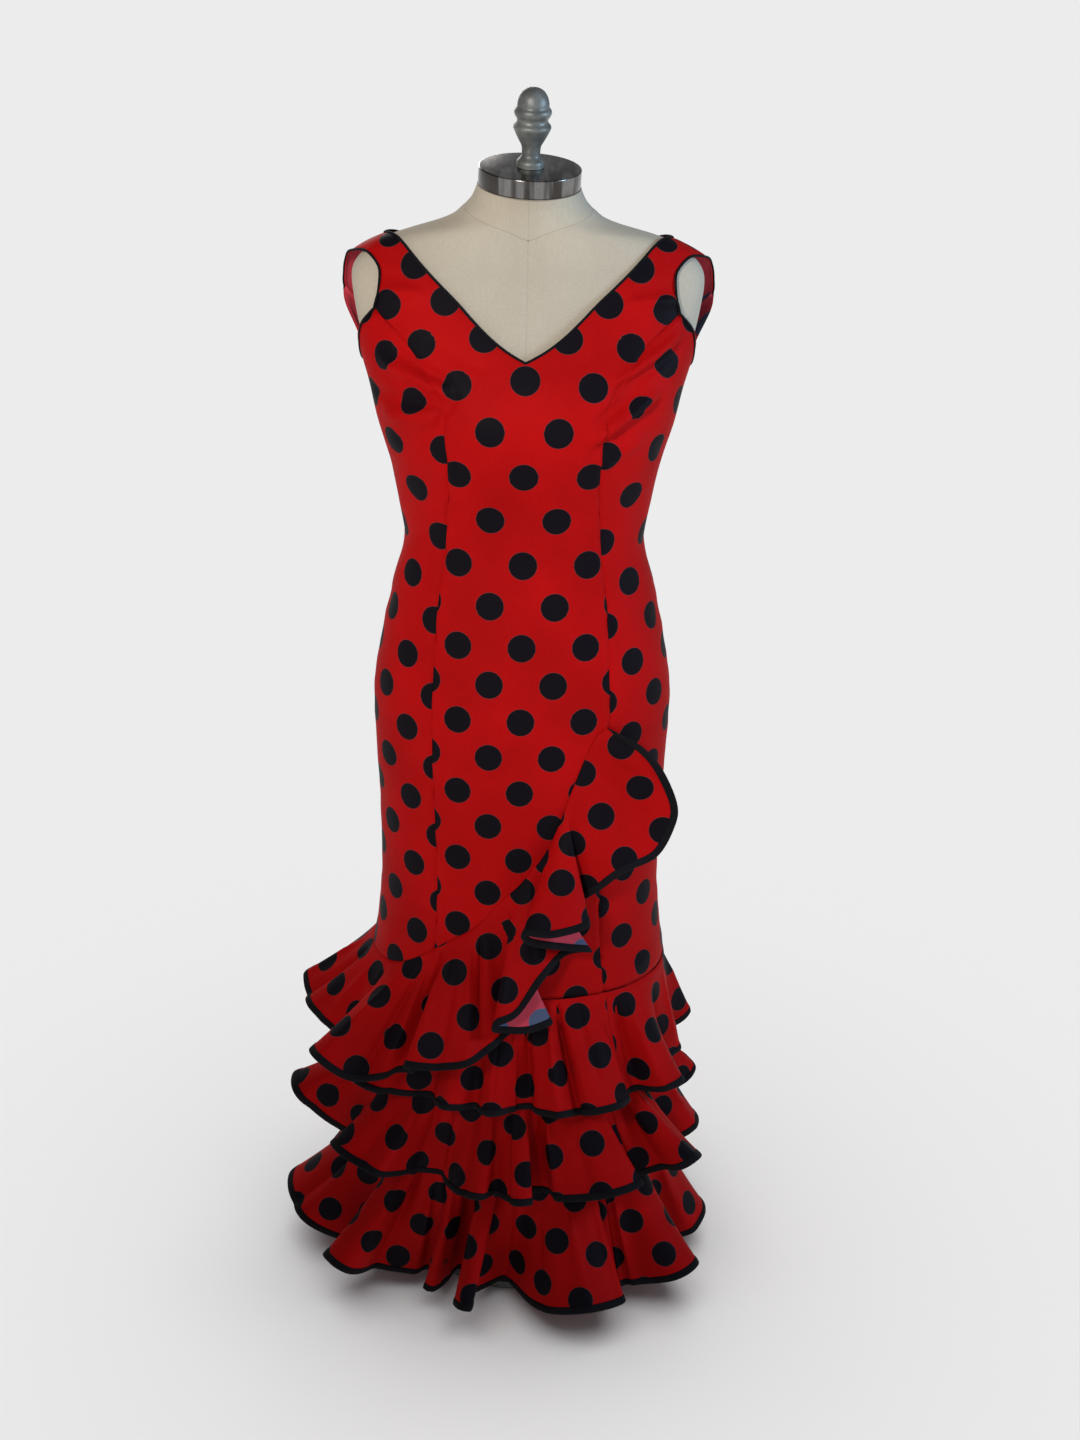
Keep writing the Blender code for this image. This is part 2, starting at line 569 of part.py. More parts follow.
def main():
    for old in list(bpy.data.objects):
        bpy.data.objects.remove(old)
    cloth = material("dotted cloth", RED, 0.72)
    trim = material("black bias", BLACK, 0.75)
    linen = material("linen", LINEN, 0.85)
    metal = material("brushed steel", STEEL, 0.35, 1.0)
    painted = material("silver paint", SILVER, 0.40, 0.6)

    form_body(linen)
    stand(metal, painted)
    front_centre(cloth)
    for side, hand in ((1, "left"), (-1, "right")):
        front_side(f"front_side_{hand}", side, cloth)
        back_side(f"back_side_{hand}", side, cloth)
        back_centre(f"back_{hand}", side, cloth)
        arm_piping(f"armhole_piping_{hand}", side, trim)
    inner_skirt("inner_skirt_front", -91, 91, cloth)
    inner_skirt("inner_skirt_back", 91, 269, cloth)
    for name, values in TIERS.items():
        tier(name, values, cloth, trim)
    wrap_flounce(cloth, trim)
    neck_piping(trim)


main()
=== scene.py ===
# %% [markdown]
# A flamenco dress on its limbless dress form.
#
# The real dress is cut from smooth red cotton with near-black dots: a fitted body of seven panels, a
# straight inner skirt that carries three circular flounces, and one longer flounce that starts at the centre
# back, runs round the wearer's right side and climbs across the front. Black bias binding finishes every
# free edge. The linen form under it stands on a pole and a round plate.
#
# Units are metres, +Z is up, the dress faces -Y, and azimuth is measured from the front towards +X, the
# wearer's left.

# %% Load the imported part, which is the frame for everything here
import math

import bmesh
import bpy
import numpy as np
from mathutils import Matrix, Vector


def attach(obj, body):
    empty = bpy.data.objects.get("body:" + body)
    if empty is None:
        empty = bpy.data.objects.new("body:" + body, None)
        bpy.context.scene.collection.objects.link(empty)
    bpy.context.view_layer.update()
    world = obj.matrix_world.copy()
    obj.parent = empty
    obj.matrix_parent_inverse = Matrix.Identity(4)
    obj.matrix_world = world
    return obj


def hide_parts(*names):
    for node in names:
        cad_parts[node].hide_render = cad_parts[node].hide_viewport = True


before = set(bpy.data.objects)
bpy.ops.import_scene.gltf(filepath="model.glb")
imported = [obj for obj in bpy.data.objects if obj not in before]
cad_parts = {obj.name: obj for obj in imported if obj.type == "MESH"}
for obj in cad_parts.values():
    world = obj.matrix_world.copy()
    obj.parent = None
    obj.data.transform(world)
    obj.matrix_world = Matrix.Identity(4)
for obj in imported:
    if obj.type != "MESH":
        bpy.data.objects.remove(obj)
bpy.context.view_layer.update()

# %% [markdown]
# The camera comes first, because every later choice is judged through it. The photograph was taken from
# about 2 m in front, a little above the neck and looking down, which the ellipses of the neck cap and the
# hem show. A small roll makes the lower skirt lean to the left of the picture.

# %% Camera
CAMERA_PLACE = (0.0235, -1.95, 1.62)
CAMERA_DOWN = 22.7  # degrees below the horizon
CAMERA_ROLL = 1.1
LENS = 41.25

camera_data = bpy.data.cameras.new("camera")
camera_data.lens = LENS
camera_data.sensor_width = 36
camera = bpy.data.objects.new("camera", camera_data)
bpy.context.scene.collection.objects.link(camera)
tilt = Matrix.Rotation(math.radians(90 - CAMERA_DOWN), 4, "X")
roll = Matrix.Rotation(math.radians(CAMERA_ROLL), 4, "Z")
camera.matrix_world = Matrix.Translation(CAMERA_PLACE) @ tilt @ roll
bpy.context.scene.camera = camera
print("camera at", CAMERA_PLACE)

# %% [markdown]
# Every piece of cloth here lies on or hangs from one smooth figure. It is a stack of rounded sections: a
# half width, a front depth and a back depth at each height, joined by smooth curves. A dressmaker's form is
# built up in the same way from a few girths. The numbers are those of the part, so the fine cloth lands
# where its solids are.

# %% The figure's sections
SECTIONS = (
    # height, half width, front depth, back depth, squareness, ease to the form
    (0.20, 0.190, 0.150, 0.150, 2.20, 0.0060),
    (0.36, 0.190, 0.148, 0.150, 2.20, 0.0060),
    (0.47, 0.196, 0.143, 0.147, 2.20, 0.0060),
    (0.53, 0.188, 0.133, 0.136, 2.25, 0.0060),
    (0.60, 0.182, 0.126, 0.131, 2.30, 0.0060),
    (0.70, 0.183, 0.122, 0.132, 2.30, 0.0060),
    (0.80, 0.187, 0.120, 0.136, 2.30, 0.0060),
    (0.86, 0.187, 0.117, 0.134, 2.30, 0.0060),
    (0.93, 0.175, 0.110, 0.122, 2.30, 0.0060),
    (1.00, 0.159, 0.104, 0.100, 2.30, 0.0060),
    (1.05, 0.146, 0.101, 0.090, 2.30, 0.0050),
    (1.10, 0.152, 0.108, 0.092, 2.30, 0.0050),
    (1.15, 0.161, 0.126, 0.102, 2.30, 0.0050),
    (1.20, 0.175, 0.137, 0.111, 2.30, 0.0050),
    (1.24, 0.184, 0.130, 0.114, 2.35, 0.0050),
    (1.28, 0.196, 0.111, 0.113, 2.40, 0.0050),
    (1.32, 0.205, 0.090, 0.105, 2.50, 0.0046),
    (1.36, 0.207, 0.070, 0.086, 2.50, 0.0026),
    (1.38, 0.197, 0.060, 0.072, 2.40, 0.0019),
    (1.40, 0.170, 0.055, 0.061, 2.30, 0.0018),
    (1.42, 0.120, 0.054, 0.056, 2.20, 0.0016),
    (1.44, 0.078, 0.058, 0.054, 2.00, 0.0022),
    (1.46, 0.064, 0.066, 0.058, 2.00, 0.0022),
)
TABLE = np.array(SECTIONS)


def section(height):
    """Half width, front, back, squareness and ease at a height, smooth between the rows."""
    height = np.clip(np.asarray(height, float), TABLE[0, 0], TABLE[-1, 0])
    last = len(TABLE) - 1
    row = np.clip(np.searchsorted(TABLE[:, 0], height, side="right") - 1, 0, last - 1)

    def slope(i):
        low, high = np.clip(i - 1, 0, last), np.clip(i + 1, 0, last)
        return (TABLE[high, 1:] - TABLE[low, 1:]) / (TABLE[high, :1] - TABLE[low, :1])

    step = (TABLE[row + 1, 0] - TABLE[row, 0])[..., None]
    t = (height - TABLE[row, 0])[..., None] / step
    start, end = TABLE[row, 1:], TABLE[row + 1, 1:]
    curve = (2 * t**3 - 3 * t**2 + 1) * start + (3 * t**2 - 2 * t**3) * end
    return curve + (t**3 - 2 * t**2 + t) * step * slope(row) + (t**3 - t**2) * step * slope(row + 1)


print("sections:", len(SECTIONS), "waist half width", SECTIONS[10][1])

# %% [markdown]
# A place on the figure is named by an azimuth and a level. Up to the core the level is a height. Above it
# the level fans upwards, so that one grid can run over the shoulder, as cloth does. Rays from inside the
# figure are halved until they meet its surface.

# %% Places on the figure
CORE = 1.22  # above this height a level turns into an angle about the core
TURN = 0.21  # metres of level for each radian of that angle
ARM = 0.18  # mean radius, which makes azimuths comparable with levels
HALVINGS = 26
REACH = 0.45


def field(points):
    """Below zero within the figure, zero on it."""
    half, front, back, square, _ = np.moveaxis(section(points[..., 2]), -1, 0)
    x = np.abs(points[..., 0] / half)
    y = np.abs((points[..., 1] - (back - front) / 2) * 2 / (front + back))
    return x**square + y**square - 1


def reach(origin, direction):
    """Where rays from inside meet the figure."""
    low = np.zeros(origin.shape[:-1])
    high = np.full(origin.shape[:-1], REACH)
    for _ in range(HALVINGS):
        middle = (low + high) / 2
        within = field(origin + direction * middle[..., None]) < 0
        low = np.where(within, middle, low)
        high = np.where(within, high, middle)
    return origin + direction * low[..., None]


def outward(points):
    """The direction square to the figure at each point."""
    step = 0.0005 * np.eye(3)
    slope = np.stack([field(points + axis) - field(points - axis) for axis in step], -1)
    return slope / np.linalg.norm(slope, axis=-1)[..., None]


def on_figure(azimuth, level, out=0.0):
    """Points at a distance over the figure."""
    turn, level = np.broadcast_arrays(np.radians(azimuth), np.asarray(level, float))
    lift = np.maximum(level - CORE, 0) / TURN
    origin = np.stack([0 * turn, 0 * turn, np.minimum(level, CORE)], -1)
    direction = np.stack([np.sin(turn) * np.cos(lift), -np.cos(turn) * np.cos(lift), np.sin(lift)], -1)
    points = reach(origin, direction)
    return points + outward(points) * np.broadcast_to(out, turn.shape)[..., None]


def azimuth_of(points):
    """Degrees from the front towards the wearer's left."""
    return np.degrees(np.arctan2(points[..., 0], -points[..., 1]))


print("front of the waist:", np.round(on_figure(0, 1.05), 3))

# %% [markdown]
# Edges are drawn like a pattern maker's curves: a few points and a smooth line through them. The line is
# then walked in even steps, so that a grid along it has no crowded or stretched cells.

# %% Smooth curves through a few points
CURVE_STEPS = 16


def along(points, steps, closed=False, scale=None):
    """Steps + 1 points, evenly spaced, on a smooth curve through the given ones."""
    given = np.array(points, float)
    scale = np.ones(given.shape[1]) if scale is None else np.array(scale)
    if closed:
        knots = np.concatenate([given[-1:], given, given[:2]])
    else:
        knots = np.concatenate([2 * given[:1] - given[1:2], given, 2 * given[-1:] - given[-2:-1]])
    t = np.linspace(0, 1, CURVE_STEPS + 1)[:-1, None]
    pieces = []
    for a, b, c, d in zip(knots, knots[1:], knots[2:], knots[3:]):
        curve = b + t * (c - a) / 2 + t**2 * (a - 2.5 * b + 2 * c - d / 2)
        pieces.append(curve + t**3 * ((d - a) / 2 + 1.5 * (b - c)))
    pieces.append(given[:1] if closed else given[-1:])
    curve = np.concatenate(pieces)
    run = np.concatenate([[0], np.cumsum(np.linalg.norm(np.diff(curve, axis=0) * scale, axis=1))])
    wanted = np.linspace(0, run[-1], steps + 1)
    return np.stack([np.interp(wanted, run, curve[:, i]) for i in range(curve.shape[1])], 1)


def edge(points, steps):
    """The same for (azimuth, level) points, measured on the figure."""
    return along(points, steps, scale=(math.radians(ARM), 1))


def steps_along(line, axis=0):
    """The lengths of the steps of a line, or of the lines of a grid."""
    return np.linalg.norm(np.diff(line, axis=axis), axis=-1)


def run_along(line):
    """How far along a line each of its points is."""
    return np.concatenate([[0], np.cumsum(steps_along(line))])


print("curve steps between two given points:", CURVE_STEPS)


# %% [markdown]
# The dots are printed on flat cloth before it is cut, so a pattern has to be laid out in the cloth's own
# metres and not in the room's. Two small tables hold the distance round the figure from the centre front,
# and the distance up it. A panel looks its corners up in them, which gives its UV map.
#
# In the photograph the dots of the centre front column sit at known heights. Reading the height through
# them puts each printed dot where the real one is.

# %% Cloth lengths on the figure
DOT_ACROSS = 0.077  # from dot to dot in a row
DOT_UP = 0.0935  # from dot to dot in a column; a second column stands between, half a step up
DOT_RADIUS = 0.0168
DOT_HEIGHTS = (0.475, 0.573, 0.665, 0.756, 0.849, 0.941, 1.041, 1.153, 1.258)
GRAIN_LEAN = ((-0.045, 0), (0, 4.5), (0.05, 10), (0.094, 13), (0.16, 13))  # height on the cloth, degrees
GRAIN_PIVOT = (0.100, 0.005)
STRAIGHT = ((0.5, 0), (1.3, 0))  # a grain that doesn't drift: level, sideways
CHART_AZIMUTHS = np.linspace(0, 180, 121)
CHART_LEVELS = np.concatenate([np.linspace(0.44, CORE, 80)[:-1], np.linspace(CORE, 1.46, 60)])

chart_points = on_figure(CHART_AZIMUTHS[None, :], CHART_LEVELS[:, None])
chart_steps = steps_along(chart_points, 1)
chart_across = np.concatenate([np.zeros((len(CHART_LEVELS), 1)), np.cumsum(chart_steps, axis=1)], axis=1)
chart_rises = steps_along(chart_points)
chart_rises[CHART_LEVELS[1:] <= CORE] = 0
chart_up = np.concatenate([np.zeros((1, len(CHART_AZIMUTHS))), np.cumsum(chart_rises, axis=0)], axis=0)


def look_up(grid, azimuth, level):
    """Reads a chart table between its rows and columns."""
    i = np.interp(azimuth, CHART_AZIMUTHS, np.arange(len(CHART_AZIMUTHS)))
    j = np.interp(level, CHART_LEVELS, np.arange(len(CHART_LEVELS)))
    a = np.minimum(i.astype(int), len(CHART_AZIMUTHS) - 2)
    b = np.minimum(j.astype(int), len(CHART_LEVELS) - 2)
    s, t = i - a, j - b
    low = grid[b, a] * (1 - s) + grid[b, a + 1] * s
    high = grid[b + 1, a] * (1 - s) + grid[b + 1, a + 1] * s
    return low * (1 - t) + high * t


def print_layout(azimuth, level, offset=(0, 0), drift=STRAIGHT):
    """Places on the flat printed cloth, in metres. The grain may drift sideways with height."""
    across = look_up(chart_across, np.abs(azimuth), level)
    rows = (np.arange(len(DOT_HEIGHTS)) - (len(DOT_HEIGHTS) - 1)) * DOT_UP
    up = np.interp(np.minimum(level, CORE), DOT_HEIGHTS, rows) + look_up(chart_up, np.abs(azimuth), level)
    across = across + np.interp(level, *np.array(drift, float).T)
    return np.stack([np.sign(azimuth) * across + offset[0], up + offset[1]], -1)


def leaning_print(azimuth, level):
    """The centre front's print: over the bust its grain leans outward, towards the straps."""
    across, up = np.moveaxis(print_layout(np.abs(azimuth), level), -1, 0)
    lean = np.radians(np.interp(up, *np.array(GRAIN_LEAN).T))
    out, rise = across - GRAIN_PIVOT[0], up - GRAIN_PIVOT[1]
    turned_out = GRAIN_PIVOT[0] + out * np.cos(lean) - rise * np.sin(lean)
    turned_up = GRAIN_PIVOT[1] + out * np.sin(lean) + rise * np.cos(lean)
    return np.stack([np.sign(azimuth) * turned_out, turned_up], -1)


print("half girth at the hip:", round(float(look_up(chart_across, np.array(180.0), np.array(0.86))), 3))

# %% [markdown]
# A dot that is read straight from a UV map turns into an egg wherever the draped cloth isn't quite as flat
# as its pattern. So each dot's middle is found first: the lattice point on the flat cloth, brought to its
# place on the draped one. Every corner of the mesh then keeps its real distance to the nearest middle, and
# the shader only asks whether that is less than a dot's radius. All dots stay round and of one size. The cut
# of a long flounce winds round more than once, so two dots may share a lattice point; they lie far apart on
# the dress, and a second pass sorts them out.

# %% Distance to the nearest dot
FAR_APART = 0.15  # a dot's middle that is further off belongs to another turn of the cut
PASSES = 2
NO_AREA = 1e-9


def dot_distances(places, flat):
    """For each corner of a sheet, the distance in metres to the middle of the dot that it is nearest to."""
    pitch = np.array((DOT_ACROSS, DOT_UP))
    straight, shifted = np.round(flat / pitch), np.round(flat / pitch - 0.5) + 0.5
    to_straight, to_shifted = (np.linalg.norm(flat - cell * pitch, axis=-1) for cell in (straight, shifted))
    cell = np.where((to_straight < to_shifted)[..., None], straight, shifted)
    short = cell * pitch - flat
    down, across = np.gradient(places, axis=0), np.gradient(places, axis=1)
    flat_down, flat_across = np.gradient(flat, axis=0), np.gradient(flat, axis=1)
    size = flat_down[..., 0] * flat_across[..., 1] - flat_down[..., 1] * flat_across[..., 0]
    size = np.where(np.abs(size) < NO_AREA, NO_AREA, size)
    rows = (short[..., 0] * flat_across[..., 1] - short[..., 1] * flat_across[..., 0]) / size
    columns = (flat_down[..., 0] * short[..., 1] - flat_down[..., 1] * short[..., 0]) / size
    guess = places + down * rows[..., None] + across * columns[..., None]
    guess, miss = guess.reshape(-1, 3), np.linalg.norm(short, axis=-1).ravel()
    dot = np.unique((cell * 2).astype(int).reshape(-1, 2), axis=0, return_inverse=True)[1].reshape(-1)
    middles, found = np.zeros(guess.shape), np.zeros((dot.max() + 1, 3))
    left = np.arange(len(dot))
    for _ in range(PASSES):
        order = left[np.lexsort((miss[left], dot[left]))]
        best = order[np.diff(dot[order], prepend=-1) > 0]
        found[dot[best]] = guess[best]
        middles[left] = found[dot[left]]
        left = left[np.linalg.norm(guess[left] - middles[left], axis=1) > FAR_APART]
    return np.linalg.norm(places - middles.reshape(places.shape), axis=-1)


print("dots:", DOT_RADIUS * 2, "m across in cells of", DOT_ACROSS, "by", DOT_UP, "m")

# %% [markdown]
# One helper makes every piece of cloth. It starts from Blender's own grid and moves each corner to the
# place that the tables give, writes the flat cloth into the UV map, and lets Solidify make the wall. The
# inner side of the wall takes the second material, because the print shows paler on the wrong side.

# %% A grid of cloth
CLOTH = 0.0012


def grid_into(work, layer, places, flat, dots=None):
    """Adds a grid whose corners lie at places[row, column] to an open bmesh."""
    rows, columns = places.shape[0] - 1, places.shape[1] - 1
    made = bmesh.ops.create_grid(work, x_segments=columns, y_segments=rows, size=0.5)["verts"]
    spots = {}
    for vert in made:
        spots[vert] = (round((vert.co.y + 0.5) * rows), round((vert.co.x + 0.5) * columns))
    for face in {face for vert in made for face in vert.link_faces}:
        for corner in face.loops:
            corner[layer].uv = flat[spots[corner.vert]]
    if dots is not None:
        from_dot = dot_distances(places, flat)
        for vert, spot in spots.items():
            vert[dots] = from_dot[spot]
    for vert, spot in spots.items():
        vert.co = places[spot]


def outward_faces(work):
    """Makes all faces agree, and turns the sheet over if they look towards the middle of the figure."""
    bmesh.ops.recalc_face_normals(work, faces=work.faces)
    work.normal_update()
    facing = sum(face.normal.xy.dot(face.calc_center_median().xy) * face.calc_area() for face in work.faces)
    if facing < 0:
        bmesh.ops.reverse_faces(work, faces=work.faces)


def finish_mesh(name, work, looks):
    """The object of a finished bmesh, smooth shaded, with its materials, riding on the one body."""
    mesh = bpy.data.meshes.new(name)
    work.to_mesh(mesh)
    work.free()
    mesh.shade_smooth()
    made = bpy.data.objects.new(name, mesh)
    bpy.context.scene.collection.objects.link(made)
    for look in looks:
        mesh.materials.append(look)
    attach(made, "root")
    return made


def cloth_piece(name, grids, looks, thick=CLOTH):
    """A wall of cloth from (places, flat) grids. Grids that share points are sewn together."""
    work = bmesh.new()
    layer = work.loops.layers.uv.new("Cloth")
    dots = work.verts.layers.float.new("Dots")
    for places, flat in grids:
        grid_into(work, layer, places, flat, dots)
    bmesh.ops.remove_doubles(work, verts=work.verts, dist=0.00002)
    outward_faces(work)
    made = finish_mesh(name, work, looks)
    wall = made.modifiers.new("Wall", "SOLIDIFY")
    wall.thickness = thick
    wall.offset = -1
    wall.material_offset = len(looks) - 1
    return made


print("cloth is", CLOTH * 1000, "mm thick")

# %% [markdown]
# The print is one small shader group. It turns the distance to the nearest dot's middle into a dot with a
# thin grey rim, where the black ink thins out. A formula stays sharp at any distance.

# %% Helpers for shader nodes
def new_group(name, inputs, outputs):
    """An empty node group with named sockets, and the nodes at its two ends."""
    group = bpy.data.node_groups.new(name, "ShaderNodeTree")
    for label, kind, value in inputs:
        socket = group.interface.new_socket(label, in_out="INPUT", socket_type=kind)
        if value is not None:
            socket.default_value = value
    for label, kind in outputs:
        group.interface.new_socket(label, in_out="OUTPUT", socket_type=kind)
    return group, group.nodes.new("NodeGroupInput"), group.nodes.new("NodeGroupOutput")


def feed(tree, value, socket):
    """Puts a number, a tuple or another node's output on a socket."""
    if isinstance(value, bpy.types.NodeSocket):
        tree.links.new(value, socket)
    else:
        socket.default_value = value


def maths(tree, operation, *values):
    node = tree.nodes.new("ShaderNodeMath")
    node.operation = operation
    for value, socket in zip(values, node.inputs):
        feed(tree, value, socket)
    return node.outputs[0]


def vectors(tree, operation, *values):
    node = tree.nodes.new("ShaderNodeVectorMath")
    node.operation = operation
    for value, socket in zip(values, node.inputs):
        feed(tree, value, socket)
    return node.outputs["Value"] if operation in ("LENGTH", "DISTANCE", "DOT_PRODUCT") else node.outputs[0]


def blend_colours(tree, share, first, second, kind="MIX"):
    node = tree.nodes.new("ShaderNodeMix")
    node.data_type = "RGBA"
    node.blend_type = kind
    feed(tree, share, node.inputs[0])
    feed(tree, first, node.inputs[6])
    feed(tree, second, node.inputs[7])
    return node.outputs[2]


def ramp(tree, value, low, high, start=0.0, end=1.0):
    """A smooth step from start to end while the value goes from low to high."""
    node = tree.nodes.new("ShaderNodeMapRange")
    node.interpolation_type = "SMOOTHSTEP"
    for label, number in (("From Min", low), ("From Max", high), ("To Min", start), ("To Max", end)):
        feed(tree, number, node.inputs[label])
    feed(tree, value, node.inputs["Value"])
    return node.outputs[0]


def noise(tree, place, scale, detail=2.0):
    node = tree.nodes.new("ShaderNodeTexNoise")
    node.inputs["Scale"].default_value = scale
    node.inputs["Detail"].default_value = detail
    tree.links.new(place, node.inputs["Vector"])
    return node.outputs["Fac"]


print("shader helpers:", [made.__name__ for made in (maths, vectors, blend_colours, ramp, noise)])

# %% The printed dots
FLOAT = "NodeSocketFloat"
INK_BLEED = 0.0003
RIM_WIDTH = 0.0011


def dot_print_group():
    sockets = [("Distance", FLOAT, None), ("Radius", FLOAT, DOT_RADIUS)]
    group, given, result = new_group("Dot print", sockets, [("Dot", FLOAT), ("Rim", FLOAT)])
    past = maths(group, "SUBTRACT", given.outputs["Distance"], given.outputs["Radius"])
    rim = ramp(group, maths(group, "ABSOLUTE", past), 0.0002, RIM_WIDTH, 1.0, 0.0)
    group.links.new(ramp(group, past, -INK_BLEED, INK_BLEED, 1.0, 0.0), result.inputs["Dot"])
    group.links.new(rim, result.inputs["Rim"])
    return group


dot_print = dot_print_group()
print("dot print nodes:", len(dot_print.nodes))

# %% [markdown]
# Woven cloth is never one flat tone: its threads cross in a fine grid and lie a little unevenly. The weave
# group gives a height for the bump and a mask for the colour, from the same UV metres as the print. It
# serves the dress, its bindings and the linen of the form, each with its own thread.

# %% The weave
SLUB_SCALE = 900.0
SLUB_LENGTH = 0.08  # the smaller, the longer a thick stretch of thread is


def weave_group():
    sockets = [("Cloth", "NodeSocketVector", None), ("Threads", FLOAT, 1800.0), ("Slub", FLOAT, 0.3)]
    group, given, result = new_group("Weave", sockets, [("Height", FLOAT), ("Tone", FLOAT)])
    scaled = vectors(group, "SCALE", given.outputs["Cloth"])
    feed(group, maths(group, "MULTIPLY", given.outputs["Threads"], math.pi), scaled.node.inputs["Scale"])
    split = group.nodes.new("ShaderNodeSeparateXYZ")
    group.links.new(scaled, split.inputs[0])
    warp = maths(group, "SINE", split.outputs["X"])
    weft = maths(group, "SINE", split.outputs["Y"])
    threads = maths(group, "MULTIPLY", warp, weft)
    stretched = vectors(group, "MULTIPLY", given.outputs["Cloth"], (1, SLUB_LENGTH, 1))
    crossed = vectors(group, "MULTIPLY", given.outputs["Cloth"], (SLUB_LENGTH, 1, 1))
    slub = maths(group, "ADD", *(noise(group, place, SLUB_SCALE, 1.0) for place in (stretched, crossed)))
    uneven = maths(group, "MULTIPLY", maths(group, "SUBTRACT", slub, 1.0), given.outputs["Slub"])
    height = maths(group, "ADD", maths(group, "MULTIPLY", threads, 0.5), uneven)
    cloud = noise(group, given.outputs["Cloth"], 9.0, 3.0)
    tone = maths(group, "ADD", uneven, maths(group, "SUBTRACT", cloud, 0.5))
    group.links.new(height, result.inputs["Height"])
    group.links.new(tone, result.inputs["Tone"])
    return group


weave = weave_group()
print("weave nodes:", len(weave.nodes))

# %% [markdown]
# The dress cloth joins the two groups. Its right side is a saturated red with near-black navy dots and a
# low sheen; its wrong side is a washed-out pink with slate dots, as ink that has only just come through.

# %% Cloth materials
RED = (0.400, 0.0025, 0.0030, 1)
RED_SHADE = (0.320, 0.0018, 0.0022, 1)
INK = (0.0050, 0.0036, 0.0060, 1)
RIM = (0.050, 0.026, 0.028, 1)
PALE_RED = (0.560, 0.058, 0.085, 1)
PALE_SHADE = (0.460, 0.040, 0.062, 1)
PALE_INK = (0.070, 0.086, 0.150, 1)
PALE_RIM = (0.150, 0.100, 0.140, 1)


def new_material(name, roughness, metallic=0.0):
    made = bpy.data.materials.new(name)
    made.use_nodes = True
    shader = made.node_tree.nodes["Principled BSDF"]
    shader.inputs["Roughness"].default_value = roughness
    shader.inputs["Metallic"].default_value = metallic
    return made, made.node_tree, shader


def place_group(tree, group, **values):
    node = tree.nodes.new("ShaderNodeGroup")
    node.node_tree = group
    for label, value in values.items():
        feed(tree, value, node.inputs[label])
    return node


def bump_from(tree, shader, height, strength, distance):
    node = tree.nodes.new("ShaderNodeBump")
    node.inputs["Strength"].default_value = strength
    node.inputs["Distance"].default_value = distance
    tree.links.new(height, node.inputs["Height"])
    tree.links.new(node.outputs[0], shader.inputs["Normal"])


def uv_place(tree, name="Cloth"):
    node = tree.nodes.new("ShaderNodeUVMap")
    node.uv_map = name
    return node.outputs[0]


def object_place(tree):
    return tree.nodes.new("ShaderNodeTexCoord").outputs["Object"]


def finish_look(tree, shader, colour, rough=None, specular=None, sheen=None):
    """Gives the shader its colour and what differs from plain paint."""
    given = {"Base Color": colour, "Roughness": rough, "Specular IOR Level": specular, "Sheen Weight": sheen}
    for label, value in given.items():
        if value is not None:
            feed(tree, value, shader.inputs[label])


def dotted_cloth(name, ground, shade, ink, rim, sheen):
    """Printed cotton: ground colour with dots, read from the piece's own flat cloth."""
    made, tree, shader = new_material(name, 0.62)
    place = uv_place(tree)
    from_dot = tree.nodes.new("ShaderNodeAttribute")
    from_dot.attribute_name = "Dots"
    dots = place_group(tree, dot_print, Distance=from_dot.outputs["Fac"])
    threads = place_group(tree, weave, Cloth=place, Threads=1500.0, Slub=0.25)
    tone = ramp(tree, threads.outputs["Tone"], -0.22, 0.22)
    colour = blend_colours(tree, tone, shade, ground)
    colour = blend_colours(tree, maths(tree, "MULTIPLY", dots.outputs["Rim"], 0.75), colour, rim)
    colour = blend_colours(tree, dots.outputs["Dot"], colour, ink)
    rough = maths(tree, "SUBTRACT", 0.66, maths(tree, "MULTIPLY", dots.outputs["Dot"], 0.10))
    finish_look(tree, shader, colour, rough, 0.045, sheen)
    shader.inputs["Sheen Roughness"].default_value = 0.45
    bump_from(tree, shader, threads.outputs["Height"], 0.25, 0.0002)
    return made


cloth_look = dotted_cloth("dotted_cloth", RED, RED_SHADE, INK, RIM, 0.004)
wrong_side = dotted_cloth("dotted_cloth_wrong_side", PALE_RED, PALE_SHADE, PALE_INK, PALE_RIM, 0.05)
print("cloth materials:", cloth_look.name, wrong_side.name)

# %% Black bias cloth
def bias_cloth():
    """Black cotton bias: dull, with a fine diagonal weave because bias strips are cut at 45 degrees."""
    made, tree, shader = new_material("black_bias", 0.8)
    turned = tree.nodes.new("ShaderNodeMapping")
    turned.inputs["Rotation"].default_value = (0, 0, math.radians(45))
    tree.links.new(uv_place(tree), turned.inputs["Vector"])
    threads = place_group(tree, weave, Cloth=turned.outputs[0], Threads=1300.0, Slub=0.3)
    tone = ramp(tree, threads.outputs["Tone"], -0.25, 0.25)
    colour = blend_colours(tree, tone, (0.0030, 0.0026, 0.0036, 1), (0.0068, 0.0058, 0.0078, 1))
    finish_look(tree, shader, colour, specular=0.10, sheen=0.006)
    bump_from(tree, shader, threads.outputs["Height"], 0.35, 0.0002)
    return made


bias_look = bias_cloth()
print("bias:", bias_look.name)

# %% [markdown]
# The body is cut in seven panels: a wide centre front with both front straps, two front sides, two back
# sides and two centre backs. The tables give their seams as a cutter would mark them on the form: the
# princess seams run from the hem over the bust to the armhole.

